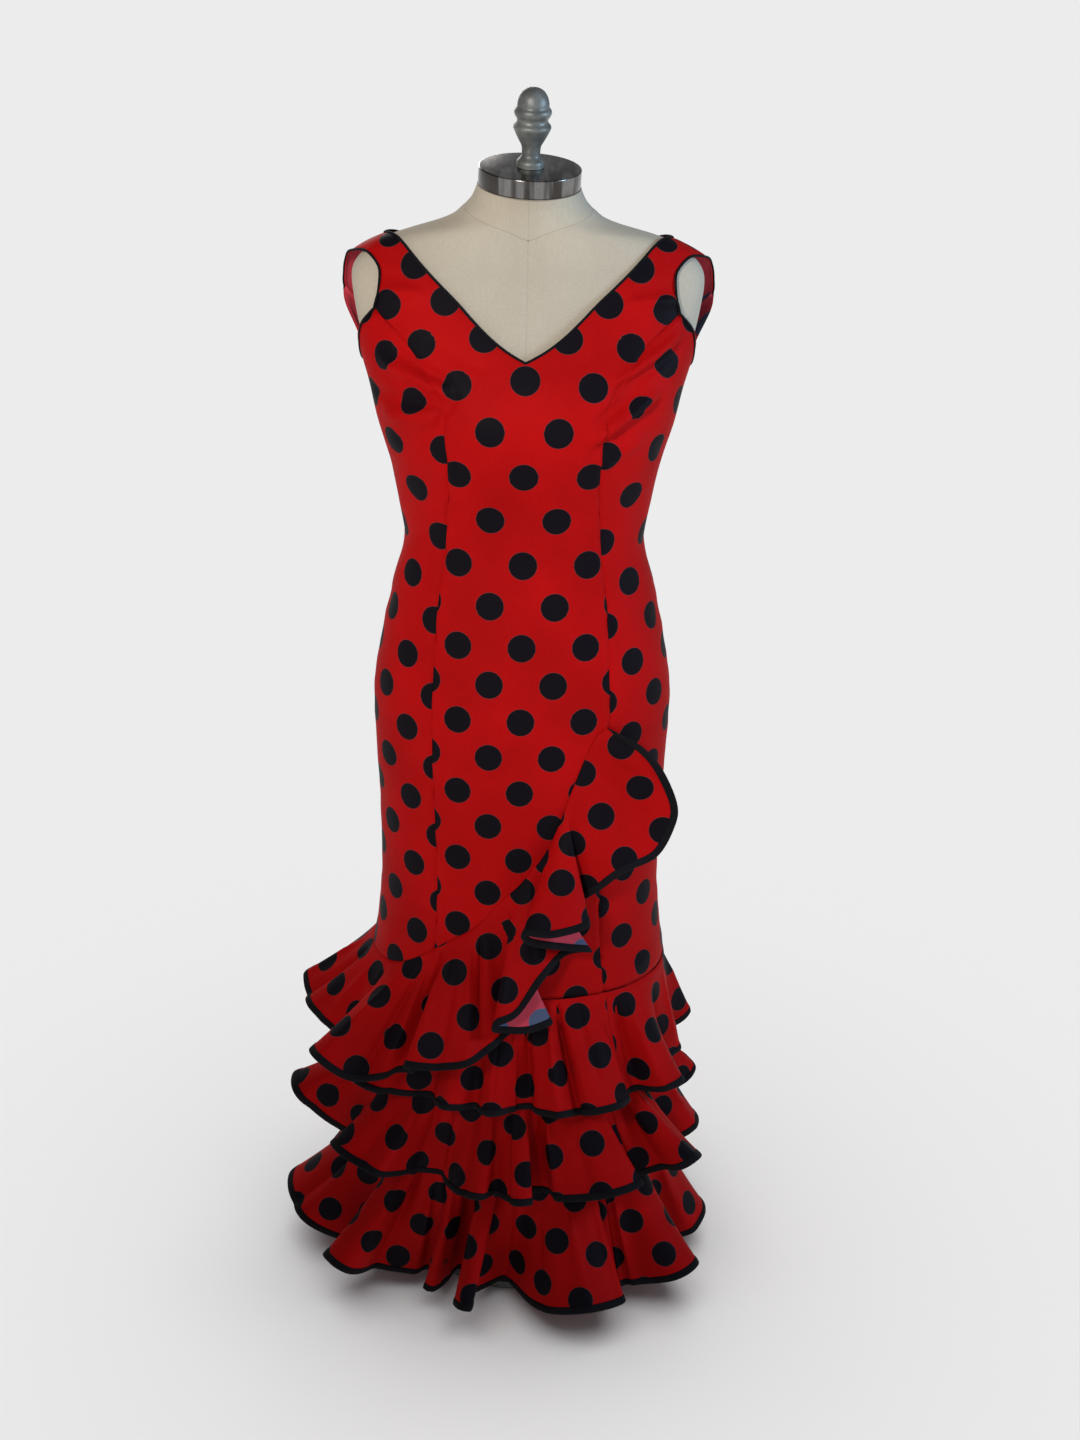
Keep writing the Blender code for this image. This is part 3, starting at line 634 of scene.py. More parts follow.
# %% Seams and edges of the cut, as (azimuth in degrees, level)
SKIRT_HEM = 0.475
PRINCESS = ((43, 0.475), (43, 0.55), (44, 0.65), (46, 0.75), (47, 0.84), (48.5, 0.92), (49, 0.98),
            (48.5, 1.03), (44.5, 1.09), (38, 1.145), (36, 1.20), (40, 1.25), (50.5, 1.29), (60, 1.315),
            (72.5, 1.332))
NECK_FRONT = ((0, 1.321), (11, 1.339), (22, 1.358), (35, 1.379), (48, 1.394), (67, 1.403), (80, 1.405),
              (92, 1.397))
ARM_FRONT = ((72.5, 1.332), (73, 1.352), (76, 1.370), (83, 1.374), (91, 1.367))
ARM_LOW = ((72.5, 1.332), (75, 1.318), (78, 1.303), (81, 1.285), (85, 1.270), (91, 1.263))
ARM_LOW_BACK = ((91, 1.263), (97, 1.268), (101, 1.284), (104, 1.305), (106, 1.330))
ARM_BACK = ((106, 1.330), (105, 1.345), (101, 1.358), (91, 1.367))
NECK_BACK = ((180, 1.340), (165, 1.362), (148, 1.385), (128, 1.400), (108, 1.404), (92, 1.397))
PRINCESS_BACK = ((137, 0.475), (136, 0.65), (135, 0.84), (134, 0.95), (136, 1.05), (137, 1.15), (133, 1.22),
                 (124, 1.27), (106, 1.330))
SIDE_SEAM = 91
WAIST = 1.05
ROWS = np.linspace(SKIRT_HEM, 1.27, 111)
CHEST_STEPS = 10
STRAP_STEPS = 30
COLUMNS = 44


def seam_line(points):
    """A seam with a point on each row of the panels, then evenly spaced ones up to the armhole."""
    curve = along(points, 200)
    low = np.stack([np.interp(ROWS, curve[:, 1], curve[:, 0]), ROWS], 1)
    high = edge(np.concatenate([low[-1:], curve[curve[:, 1] > ROWS[-1] + 0.004]]), CHEST_STEPS)
    return np.concatenate([low, high[1:]])


def plumb(azimuth, levels, top):
    """A seam at one azimuth. The levels above the waist are stretched to end at the top."""
    levels = np.array(levels, float)
    rise = np.clip((levels - WAIST) / (levels[-1] - WAIST), 0, 1) ** 2
    return np.stack([np.full(len(levels), float(azimuth)), levels + (top - levels[-1]) * rise], 1)


def crowded(columns):
    """Shares across a panel, close together at both seams so that the stitched-in edge is round."""
    t = np.linspace(0, 1, columns + 1)
    return t - 0.86 * np.sin(2 * np.pi * t) / (2 * np.pi)


def between(first, last):
    """Chart places from one edge of a panel to the other, indexed [row, column]."""
    across = crowded(COLUMNS)[None, :, None]
    return first[:, None] * (1 - across) + last[:, None] * across


print("panel rows:", len(ROWS) + CHEST_STEPS, "columns:", COLUMNS)

# %% [markdown]
# Cloth on a form shows how it was sewn: it sinks into each seam, puckers a little along it, and pulls into
# soft creases between the points that carry it. The creases are listed as lines on the chart with a width
# and a depth, and none repeats another. Those on the back are the same kinds in other places.

# %% Seam grooves, puckers and creases
SEAM_DEPTH = 0.0017
SEAM_WIDTH = 0.0030
PUCKER = 0.0009
PUCKER_REACH = 0.010
PUCKER_STEPS = (0.0063, 0.041, 0.0101)  # three lengths along the seam that never fall in step
LOOSE = 0.030
LOOSE_PLACE = (106, 1.338)  # azimuth and level
LOOSE_SPREAD = (14.0, 0.045)
LOOSE_WAY = (1, 0.3, 0)  # sideways and a little back
PULL = 1.5  # makes all the creases of the panels deeper or softer at once
FORM_GAP = 0.8  # the most of the ease to the form that a groove or crease may use up
END_DEPTH = 0.35  # what is left of a crease at its ends, before it fades out
MM = 0.001
CREASES = (
    # azimuth and level at one end, the same at the other, width and depth in mm (a ridge is below zero)
    # the tuck and folds beside the wearer's left bust
    (31, 1.182, 60, 1.236, 5.2, 7), (31, 1.195, 58, 1.25, 7, -7), (33, 1.216, 52, 1.268, 5.5, 5),
    (42, 1.262, 72, 1.3, 5.5, 6), (43, 1.274, 70, 1.311, 6.5, -5.5), (35, 1.166, 54, 1.196, 6.5, -3),
    # the straps pull towards the armholes
    (58, 1.374, 72, 1.346, 6, -3.4), (64, 1.382, 76, 1.356, 5, 1.6), (-60, 1.378, -72, 1.35, 6, -3.6),
    (-66, 1.386, -77, 1.36, 5, 1.6),
    # the wearer's right bust
    (-32, 1.256, -40, 1.196, 5.5, 6), (-36, 1.272, -62, 1.302, 6, 6), (-37, 1.258, -66, 1.281, 7, -6),
    (-38, 1.238, -72, 1.238, 6, 6), (-37, 1.222, -64, 1.212, 7, -5.2), (-38, 1.2, -60, 1.18, 6.5, 4),
    # waist, hips and skirt in front
    (52, 1.205, 76, 1.165, 11, 1.6), (-48, 1.19, -78, 1.14, 10, 2), (-46, 1.15, -74, 1.085, 11, 1.8),
    (50, 1.14, 72, 1.085, 12, 1.4), (-52, 1.075, -84, 1.052, 9, 1.6), (54, 1.062, 86, 1.046, 10, 1.3),
    (-20, 1.3, -52, 1.33, 10, 1), (24, 1.306, 56, 1.338, 9, 0.9), (-60, 1.012, -88, 0.965, 12, 1.4),
    (56, 1.004, 84, 0.95, 13, 1.2), (-15, 0.86, 22, 0.846, 16, 0.8), (-52, 0.8, -84, 0.7, 18, 1.6),
    (58, 0.76, 78, 0.64, 18, 1.4), (-44, 0.62, -70, 0.52, 15, 1.8), (-58, 0.585, -72, 0.5, 10, -1.6),
    (-8, 0.7, -30, 0.6, 20, 1), (50, 0.56, 66, 0.492, 12, 1.4), (52, 0.487, 70, 0.505, 8, -1.4),
    (120, 1.12, 158, 1.07, 12, 1.6), (-124, 1.105, -160, 1.062, 11, 1.8),
    # the back
    (118, 1.03, 170, 1.022, 10, 1.5), (-120, 1.04, -168, 1.012, 11, 1.3), (110, 1.21, 136, 1.17, 13, 1.5),
    (-108, 1.22, -140, 1.16, 13, 1.4), (105, 0.78, 130, 0.66, 18, 1.5), (-112, 0.82, -140, 0.69, 20, 1.3),
    (150, 0.62, 172, 0.54, 16, 1.2), (-148, 0.64, -170, 0.55, 15, 1.4),
)


def crease_depth(azimuth, level):
    """How far the creases push the cloth in at chart places."""
    total = np.zeros(azimuth.shape)
    place = np.stack([azimuth * math.radians(ARM), level], -1)
    for start_turn, start_level, end_turn, end_level, width, depth in CREASES:
        start = np.array((start_turn * math.radians(ARM), start_level))
        run = np.array((end_turn * math.radians(ARM), end_level)) - start
        share = (place - start) @ run / (run @ run)
        aside = np.linalg.norm(place - start - np.clip(share, 0, 1)[..., None] * run, axis=-1)
        fade = np.clip(np.minimum(share, 1 - share) * 3 + END_DEPTH, 0, 1)
        total += PULL * depth * MM * fade * np.exp(-((aside / (width * MM)) ** 2))
    return total


def seam_dip(distance, run, phase):
    """How far the cloth sinks beside a seam, with puckers that come and go along it."""
    groove = SEAM_DEPTH * np.exp(-((distance / SEAM_WIDTH) ** 2))
    short, long, other = (run / step for step in PUCKER_STEPS)
    wave = np.sin(short + phase) * np.sin(long + 2.1 * phase) + 0.5 * np.sin(other - phase)
    return groove + PUCKER * wave * np.exp(-distance / PUCKER_REACH)


def loose(azimuth, level):
    """How the back armholes gape sideways, because the form is a size too small for them."""
    across = (np.abs(azimuth) - LOOSE_PLACE[0]) / LOOSE_SPREAD[0]
    up = (level - LOOSE_PLACE[1]) / LOOSE_SPREAD[1]
    shift = LOOSE * np.exp(-(across**2) - up**2)
    return np.stack([np.sign(azimuth) * shift * LOOSE_WAY[0], shift * LOOSE_WAY[1], 0 * shift], -1)


def fitted(chart, side, phase, sunk=(True, True)):
    """Places of a panel on the figure, with its grooves and creases, from chart places of the left side."""
    azimuth, level = chart[..., 0] * side, chart[..., 1]
    flush = on_figure(azimuth, level)
    from_first = np.concatenate([np.zeros((len(flush), 1)), np.cumsum(steps_along(flush, 1), axis=1)], axis=1)
    run = run_along(flush[:, 0])[:, None]
    dip = crease_depth(azimuth, level)
    dip = dip + SEAM_DEPTH * np.exp(-(((level - SKIRT_HEM) / SEAM_WIDTH) ** 2))
    from_last = from_first[:, -1:] - from_first
    for is_sunk, distance, shift in zip(sunk, (from_first, from_last), (0.0, 1.7)):
        if is_sunk:
            dip = dip + seam_dip(distance, run, phase + shift)
    give = FORM_GAP * section(flush[..., 2])[..., 4]
    dip = np.where(dip > 0, give * np.tanh(dip / give), dip)
    return flush - outward(flush) * dip[..., None] + loose(azimuth, level), azimuth, level


print("creases:", len(CREASES))

# %% Centre front with both straps
def centre_front():
    outer = np.concatenate([seam_line(PRINCESS), edge(ARM_FRONT, STRAP_STEPS)[1:]])
    neck = edge(NECK_FRONT, CHEST_STEPS + STRAP_STEPS)[1:]
    inner = np.concatenate([plumb(0, ROWS, NECK_FRONT[0][1]), neck])
    chart = between(inner, outer)
    grids = []
    for side in (1, -1):
        places, azimuth, level = fitted(chart, side, 0.4 * side, sunk=(False, True))
        grids.append((places, leaning_print(np.where(azimuth == 0, side * 1e-6, azimuth), level)))
    return cloth_piece("centre_front_panel", grids, [cloth_look, wrong_side])


def dress_panel(node):
    """Hides the solid of the part that a panel stands for."""
    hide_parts(node)


front_panel = centre_front()
print(front_panel.name, len(front_panel.data.polygons), "faces")

# %% [markdown]
# The side panels come in pairs that mirror each other on the form, but not in the print: the cutter laid
# them on the cloth wherever they fitted, so their dots meet at the seams cut through and out of step. An
# offset on the flat cloth for each panel keeps that.

# %% Side panels and back panels
PRINTS = {
    # offset on the cloth, then how far the grain drifts outward at each level
    "front_side_left": ((0.021, 0.025), ((0.5, -0.008), (0.95, -0.008), (1.05, 0.0), (1.3, 0.0))),
    "front_side_right": ((0.026, -0.025), ((0.55, 0.006), (0.70, 0.0), (0.85, -0.006), (1.0, -0.004),
                                           (1.15, 0.010))),
    "back_side_left": ((0.012, 0.041), STRAIGHT),
    "back_side_right": ((-0.017, 0.012), STRAIGHT),
    "back_left": ((0.031, -0.022), STRAIGHT),
    "back_right": ((-0.009, 0.027), STRAIGHT),
}


def under_arm(chart, arm):
    """The same columns stretched to end at the armhole."""
    rise = np.linspace(0, 1, chart.shape[0])[:, None] ** 2
    chart[:, :, 1] += (arm[:, 1] - chart[-1, :, 1])[None, :] * rise
    return chart


def crowded_edge(points):
    """An edge with its steps crowded towards both ends, to match the panel's columns."""
    fine = edge(points, 400)
    return np.stack([np.interp(crowded(COLUMNS), np.linspace(0, 1, 401), fine[:, i]) for i in (0, 1)], 1)


def front_side():
    seam = seam_line(PRINCESS)
    flank = plumb(SIDE_SEAM, seam[:, 1], ARM_LOW[-1][1])
    return under_arm(between(seam, flank), crowded_edge(ARM_LOW))


def back_side():
    seam = seam_line(PRINCESS_BACK)
    flank = plumb(SIDE_SEAM, seam[:, 1], ARM_LOW[-1][1])
    return under_arm(between(flank, seam), crowded_edge(ARM_LOW_BACK))


def centre_back():
    seam = seam_line(PRINCESS_BACK)
    outer = np.concatenate([seam, edge(ARM_BACK, STRAP_STEPS)[1:]])
    inner = np.concatenate([plumb(180, seam[:, 1], NECK_BACK[0][1]), edge(NECK_BACK, STRAP_STEPS)[1:]])
    return between(outer, inner)


panels = {}
for node, chart_of, side, phase in (
    ("front_side_left", front_side, 1, 0.9),
    ("front_side_right", front_side, -1, 2.3),
    ("back_side_left", back_side, 1, 3.1),
    ("back_side_right", back_side, -1, 4.4),
    ("back_left", centre_back, 1, 5.2),
    ("back_right", centre_back, -1, 0.2),
):
    places, azimuth, level = fitted(chart_of(), side, phase)
    layout = print_layout(azimuth, level, *PRINTS[node])
    panels[node] = cloth_piece(node + "_panel", [(places, layout)], [cloth_look, wrong_side])
    print(panels[node].name, len(panels[node].data.polygons), "faces")

# %% [markdown]
# The inner skirt is a straight tube below the panels. Little of it shows, only in the deep valleys between
# the flounces, but it carries their seams.

# %% Inner skirt
INNER_HEM = 0.212
INNER_INSET = 0.0004


def inner_skirt(name, start, stop):
    turn = np.linspace(start, stop, 91)[None, :]
    level = np.linspace(SKIRT_HEM, INNER_HEM, 20)[:, None]
    places = on_figure(turn, level, -INNER_INSET)
    run = np.broadcast_to(turn * math.radians(ARM), places.shape[:2])
    fall = np.broadcast_to(level, places.shape[:2])
    return cloth_piece(name, [(places, np.stack([run, fall], -1))], [cloth_look, wrong_side])


inner_front = inner_skirt("inner_skirt_front_panel", -SIDE_SEAM, SIDE_SEAM)
inner_back = inner_skirt("inner_skirt_back_panel", SIDE_SEAM, 360 - SIDE_SEAM)
print("inner skirt:", inner_front.name, inner_back.name)

# %% [markdown]
# A circular flounce is a ring of cloth. Its inner edge is sewn to the skirt and its much longer outer edge
# has to go somewhere, so it falls into lobes. The table holds each tier's lobes as the photograph shows
# them: where each one stands, how wide it is and how far out it reaches, and how deep the valley after it
# is. The edge hangs at the height that the cloth's depth allows.

# %% The tiers' lobes
TIERS = {
    "tier_1": {"seam": 0.475, "depth": 0.150, "drape": 1.30, "lobes": (
        # middle azimuth, half width, reach, lean, radius of the valley after it
        (-163, 13, 0.240, 0.000, 0.190), (-131, 12, 0.250, 0.000, 0.216), (-94, 18, 0.258, 0.000, 0.205),
        (-55, 13, 0.255, -0.010, 0.185), (-27, 8, 0.205, 0.000, 0.178),
        (-9, 6, 0.203, 0.000, 0.170), (24, 20, 0.222, 0.035, 0.205), (60, 8, 0.255, 0.000, 0.205),
        (84, 8, 0.228, 0.000, 0.203), (107, 10, 0.252, 0.000, 0.203), (137, 13, 0.262, 0.000, 0.190))},
    "tier_2": {"seam": 0.355, "depth": 0.158, "drape": 1.45, "lobes": (
        (-170, 12, 0.265, 0.000, 0.185), (-141, 12, 0.285, 0.000, 0.205), (-113, 11, 0.285, 0.000, 0.225),
        (-87, 12, 0.315, 0.000, 0.240), (-56, 14, 0.272, -0.030, 0.172), (-20, 10, 0.207, 0.012, 0.185),
        (2, 7, 0.222, 0.000, 0.190), (31, 15, 0.250, 0.030, 0.222), (58, 9, 0.288, 0.000, 0.215),
        (84, 11, 0.258, 0.000, 0.205), (113, 12, 0.275, 0.000, 0.205), (144, 13, 0.280, 0.000, 0.185))},
    "tier_3": {"seam": 0.225, "depth": 0.195, "drape": 1.35, "lobes": (
        (-172, 12, 0.272, 0.000, 0.190), (-143, 12, 0.290, 0.000, 0.200), (-113, 11, 0.298, 0.000, 0.225),
        (-84, 16, 0.326, -0.008, 0.235), (-56, 8, 0.302, -0.010, 0.180), (-34, 5, 0.212, 0.000, 0.165),
        (-14, 4, 0.243, 0.000, 0.148), (22, 20, 0.262, 0.040, 0.225), (57, 10, 0.298, 0.000, 0.230),
        (86, 12, 0.277, 0.000, 0.205), (117, 12, 0.285, 0.000, 0.205), (148, 12, 0.290, 0.000, 0.190))},
}
TIER_JOIN = 43  # each tier is sewn together from two halves, here and opposite
TIER_COLUMNS = 600
TIER_LAP = 0.0004
LARGEST_FLARE = 0.93  # the most of its depth that a flounce may stand out
LOBE_SHOULDER = 0.62  # where a lobe's two other points are, as a share of its half width
LOBE_ROUND = 0.955  # and their reach, as a share of the middle's
SEAM_FOLLOWS = 0.55  # how far the seam's points crowd under the lobes as the edge's points do


def lobed_edge(tier):
    """The tier's free edge from above: three points on each lobe and one in each valley."""
    lobes = tier["lobes"]
    plan = []
    for lobe, following in zip(lobes, lobes[1:] + lobes[:1]):
        middle, half, far, lean, valley = lobe
        start = following[0] - following[1] + (360 if following[0] < middle else 0)
        plan.append((middle - LOBE_SHOULDER * half, LOBE_ROUND * far - lean / 2))
        plan.append((middle, far))
        plan.append((middle + LOBE_SHOULDER * half, LOBE_ROUND * far + lean / 2))
        plan.append(((middle + half + start) / 2, valley))
    turn, radius = np.radians([a for a, _ in plan]), np.array([r for _, r in plan])
    return np.stack([radius * np.sin(turn), -radius * np.cos(turn)], 1)


def tier_lines(tier):
    """Seam point and free edge point of each column, as two closed rings."""
    plan = along(lobed_edge(tier), TIER_COLUMNS, closed=True)[:-1]
    turn = np.degrees(np.unwrap(np.arctan2(plan[:, 0], -plan[:, 1])))
    even = turn[0] + 360 * np.arange(TIER_COLUMNS) / TIER_COLUMNS
    even += (turn - even).mean()
    crowding = SEAM_FOLLOWS * turn + (1 - SEAM_FOLLOWS) * even
    seam = on_figure(crowding, tier["seam"], TIER_LAP + CLOTH)
    flat = np.linalg.norm(plan - seam[:, :2], axis=1)
    drop = np.sqrt(tier["depth"] ** 2 - np.minimum(flat, LARGEST_FLARE * tier["depth"]) ** 2)
    return seam, np.concatenate([plan, (tier["seam"] - drop)[:, None]], 1)


print("lobes:", {name: len(tier["lobes"]) for name, tier in TIERS.items()})

# %% [markdown]
# Between its seam and its edge the cloth hangs down first and flares later, because the folds start small
# at the seam. One exponent gives that curve. The lobes alone would look like moulded rubber, though. Real
# cotton breaks into crisper creases that run down from the seam and widen, each of its own depth. They are
# placed where the photograph shows them on the front and in the same manner round the back.

# %% Creases of the flounces
FLOUNCE_CREASES = {
    # azimuth on the seam, percent of the depth where it starts and ends, width at the edge in degrees,
    # depth in mm (a ridge is below zero), slant in degrees from the seam to the edge
    "tier_1": (
        (20.5, 2, 115, 2.4, 18, 0), (16, 5, 115, 2.6, -8.5, 0), (30, 0, 80, 2, 3, 1),
        (38, 20, 115, 3.2, -5, 2), (48, 2, 115, 2.6, 8, -1), (53, 15, 110, 2.4, -5, 0),
        (6, 10, 115, 2.2, 9, -1), (0, 15, 115, 2.4, -5.5, 0), (-7.5, 10, 115, 2.6, 4.5, 0),
        (70, 10, 115, 3, 6, 1), (79, 5, 90, 2.2, -3, 2), (92, 5, 115, 2.8, 6.5, -2),
        (103, 20, 110, 2.4, -4.5, 0), (118, 2, 115, 3.2, 7.5, 2), (131, 15, 115, 2.6, -5, -2),
        (148, 5, 115, 3, 6, 1), (160, 10, 95, 2.2, 4, -1), (176, 5, 115, 2.8, 7, 1),
        (-157, 15, 110, 2.6, -5, 2), (-141, 5, 115, 2.8, 7, -1), (-122, 20, 115, 2.4, -4, 1),
        (-108, 5, 110, 2.6, 6, 0), (-86, 10, 115, 2.4, 4.5, -2), (-70, 5, 115, 3, 6, 1),
        (-43, 5, 115, 2.6, 6, -1),
    ),
    "tier_2": (
        (-35, 2, 115, 2.6, 6, 0), (-41.5, 10, 115, 2.2, -8.5, -1), (-27, 10, 115, 3.2, -4, 1),
        (-16, 10, 115, 2.2, 6, 0), (-10, 20, 115, 2.6, -6.5, -1), (-3, 5, 115, 2, 6, 1),
        (4, 10, 115, 2.2, -6, 1), (9.5, 2, 115, 2.6, 17.5, 1), (15, 10, 115, 2.4, -8, 1),
        (24, 30, 105, 2.6, 4, 0), (35, 20, 115, 2.8, -5, 2), (47, 2, 115, 2.4, 13, 0),
        (52.5, 10, 115, 2.2, -6.5, 1), (68, 10, 115, 2.8, 6.5, -1), (78, 25, 110, 2.2, -4, 0),
        (96, 5, 115, 3, 7, 2), (107, 15, 110, 2.4, -5, -1), (128, 5, 115, 2.8, 7, -2),
        (139, 20, 115, 2.4, -4.5, 1), (158, 5, 115, 2.8, 6.5, 0), (173, 15, 110, 2.6, -5, 2),
        (-160, 5, 115, 2.6, 7, -1), (-147, 20, 115, 2.2, -4, 0), (-128, 5, 115, 3, 6.5, 1),
        (-104, 10, 115, 2.4, 6, -1), (-94, 25, 110, 2.6, -4.5, 2), (-74, 5, 115, 2.8, 7, 1),
        (-62, 15, 115, 2.4, -5, -2), (-48, 30, 105, 2.2, 4, 1),
    ),
    "tier_3": (
        (-62, 5, 105, 2.4, 5, 0), (-50, 10, 115, 2.2, -5, 1), (-45, 5, 115, 2, 12, 0),
        (-39, 15, 115, 2, -7, -1), (-34, 2, 115, 1.8, 11, 1), (-28.5, 10, 115, 1.8, -7, 0),
        (-22, 2, 115, 2.4, 20, 1), (-13, 10, 115, 2.6, -9, 0), (-4, 2, 115, 2.6, 15, -1),
        (4, 10, 115, 3.4, -3, -1), (13, 30, 110, 2.8, 4.5, 1), (24, 20, 115, 2.6, -5, 2),
        (33, 25, 115, 2.4, 4.5, 1), (40, 2, 115, 2.4, 13, 1), (46, 10, 115, 2.2, -6.5, 0),
        (66, 10, 115, 2.8, 6.5, -1), (76, 20, 115, 2.4, -5, 1), (98, 5, 115, 3, 7.5, 0),
        (110, 15, 110, 2.4, -5, 2), (130, 5, 115, 2.8, 7, -1), (143, 20, 115, 2.4, -4.5, 0),
        (162, 5, 115, 2.6, 7, 1), (178, 15, 110, 2.4, -5, -1), (-158, 5, 115, 3, 7, 0),
        (-136, 15, 115, 2.4, -5, 1), (-127, 5, 115, 2.6, 6.5, -1), (-104, 10, 115, 2.8, 6, 1),
        (-92, 20, 110, 2.2, -4.5, 0), (-78, 5, 115, 2.6, 6.5, -1),
    ),
    "wrap": (
        (-42.5, 5, 115, 2.2, -5.5, 0), (-37.5, 2, 115, 1.9, 13, 0), (-33.5, 8, 115, 1.7, -7, 0),
        (-29, 30, 110, 1.8, 3.5, 1), (-24.5, 10, 110, 1.7, -4, 1), (-20.5, 5, 100, 1.4, 4.5, 0),
        (-47, 2, 115, 2, 6, 0), (-54, 15, 115, 2.4, -5, -1), (-64, 5, 115, 2.6, 6, 0),
        (-73, 20, 115, 2.6, -4.5, 1), (-83, 5, 115, 2.4, 6, -1), (-93, 15, 110, 2.8, -4.5, 1),
        (-104, 5, 115, 2.6, 6, 0), (-120, 10, 115, 2.4, -4.5, -1), (-131, 5, 115, 2.8, 6.5, 1),
        (-141, 20, 110, 2.4, -4.5, 0), (-152, 5, 115, 2.8, 6, -1), (-163, 15, 115, 2.4, -5, 1),
        (-172, 5, 115, 2.4, 5.5, 0), (5.5, 25, 100, 1.2, 2, 0), (24, 35, 95, 1.8, -1.4, 0),
        (35, 5, 85, 2.2, 3.5, 0), (39.5, 10, 80, 1.6, -2.5, 0),
    ),
}
CRISPNESS = 1.45  # 2 would be a soft bell, 1 a knife edge
CREASE_DEPTH = 1.35  # makes all of them deeper or softer at once
CREASE_FADES = (0.30, 0.15)  # the shares of the depth in which a crease comes and goes
SEAM_SHARE = 0.35  # how wide a crease is at the seam, as a share of its width at the edge
LOOK_AHEAD = 0.02
TUCK = 0.0017
TUCK_LENGTH = 0.0026


def flounce_rows(seam, free, shares, drape):
    """Rows of points at shares of the way to the free edge."""
    shares = np.asarray(shares, float)[..., None]
    rows = seam + (free - seam) * shares
    rows[..., :2] = seam[:, :2] + (free - seam)[:, :2] * shares**drape
    return rows


def draped(cut, shares):
    """Rows of the finished flounce: its lobes, its creases, and its top edge tucked into the seam."""
    seam, free, drape, creases, closed = cut
    shares = np.broadcast_to(shares, (len(shares), len(seam)))
    rows = flounce_rows(seam, free, shares, drape)
    further = flounce_rows(seam, free, shares + LOOK_AHEAD, drape)
    across = np.roll(rows, -1, axis=1) - np.roll(rows, 1, axis=1) if closed else np.gradient(rows, axis=1)
    normal = np.cross(across, further - rows)
    normal /= np.linalg.norm(normal, axis=2)[..., None]
    if (normal[..., :2] * rows[..., :2]).sum() < 0:
        normal = -normal
    turn = azimuth_of(seam)
    sunk = TUCK * np.exp(-((shares * np.linalg.norm(free - seam, axis=1) / TUCK_LENGTH) ** 2))
    for middle, start, end, width, depth, slant in creases:
        gap = (turn - middle - slant * shares + 180) % 360 - 180
        gap = np.abs(gap / (width * (SEAM_SHARE + (1 - SEAM_SHARE) * shares)))
        fade = np.clip((shares - start / 100) / CREASE_FADES[0], 0, 1)
        fade = fade * np.clip((end / 100 - shares) / CREASE_FADES[1], 0, 1)
        sunk = sunk + CREASE_DEPTH * depth * MM * fade * np.exp(-(gap**CRISPNESS))
    return rows - normal * sunk[..., None]


print("creases on the flounces:", {name: len(rows) for name, rows in FLOUNCE_CREASES.items()})

# %% [markdown]
# A flounce is cut flat as part of a ring, and its dots are printed before it drapes. The UV map is that cut.
# It is found by laying down the narrow strip between each two columns beside the last one, with the lengths
# that it has on the dress.

# %% Flat cuts of the flounces
SHARES = np.concatenate([(0.0, 0.008, 0.017, 0.032), np.linspace(0.055, 1, 32)])
BINDING_FOLD = 0.001  # the cloth stops this far inside the fold of its binding


def corner_beside(first, second, from_first, from_second):
    """The third corner of a flat triangle, on the right of the line from the first corner to the second."""
    base = second - first
    length = np.linalg.norm(base)
    up = (from_first**2 - from_second**2 + length**2) / (2 * length)
    out = math.sqrt(max(from_first**2 - up**2, 0))
    return first + (base * up + np.array((base[1], -base[0])) * out) / length


def flat_cut(seam, free, shares, offset):
    """The flat cut of a flounce, indexed [row, column]."""
    inner = [np.array(offset, float)]
    outer = [inner[0] + (0, np.linalg.norm(free[0] - seam[0]))]
    for i in range(1, len(seam)):
        step, slant = np.linalg.norm(seam[i] - seam[i - 1]), np.linalg.norm(seam[i] - free[i - 1])
        inner.append(corner_beside(inner[-1], outer[-1], step, slant))
        depth, step = np.linalg.norm(free[i] - seam[i]), np.linalg.norm(free[i] - free[i - 1])
        outer.append(corner_beside(inner[-1], outer[-1], depth, step))
    inner, outer = np.array(inner), np.array(outer)
    return inner + (outer - inner) * shares[:, None, None]


def flounce(name, cut, picked, offset):
    """The cloth of a flounce between two of its columns."""
    length = np.linalg.norm(cut[1] - cut[0], axis=1).mean()
    shares = SHARES * (1 - BINDING_FOLD / length)
    places = draped(cut, shares[:, None])[:, picked]
    layout = flat_cut(cut[0][picked], cut[1][picked], shares, offset)
    return cloth_piece(name, [(places, layout)], [cloth_look, wrong_side])


print("rows of a flounce:", len(SHARES))

# %% [markdown]
# The wall stops just inside the binding, and the binding is a folded strip: a flat U round the edge, made
# by moving one small outline along it.

# %% Bindings
BINDING_OUTLINE = (
    # distance back from the edge, distance out from the middle of the cloth
    (0.0080, 0.0009), (0.0066, 0.0014), (0.0030, 0.0016), (0.0004, 0.0014), (-0.0007, 0.0008), (-0.0011, 0.0),
    (-0.0007, -0.0008), (0.0004, -0.0014), (0.0030, -0.0016), (0.0066, -0.0014), (0.0080, -0.0009),
)


def strip_piece(name, lines, normals, outline, back, closed):
    """A binding: the outline carried along an edge. back gives the cloth's middle at a distance from it."""
    places = np.stack([back(inward) + normals * out for inward, out in outline + outline[:1]])
    run = run_along(lines)
    girth = np.linspace(0, 0.02, len(places))
    layout = np.stack(np.broadcast_arrays(run[None, :], girth[:, None]), -1)
    work = bmesh.new()
    layer = work.loops.layers.uv.new("Cloth")
    grid_into(work, layer, places, layout)
    bmesh.ops.remove_doubles(work, verts=work.verts, dist=0.00003)
    if not closed:
        bmesh.ops.holes_fill(work, edges=[side for side in work.edges if side.is_boundary], sides=0)
    bmesh.ops.recalc_face_normals(work, faces=work.faces)
    return finish_mesh(name, work, [bias_look])


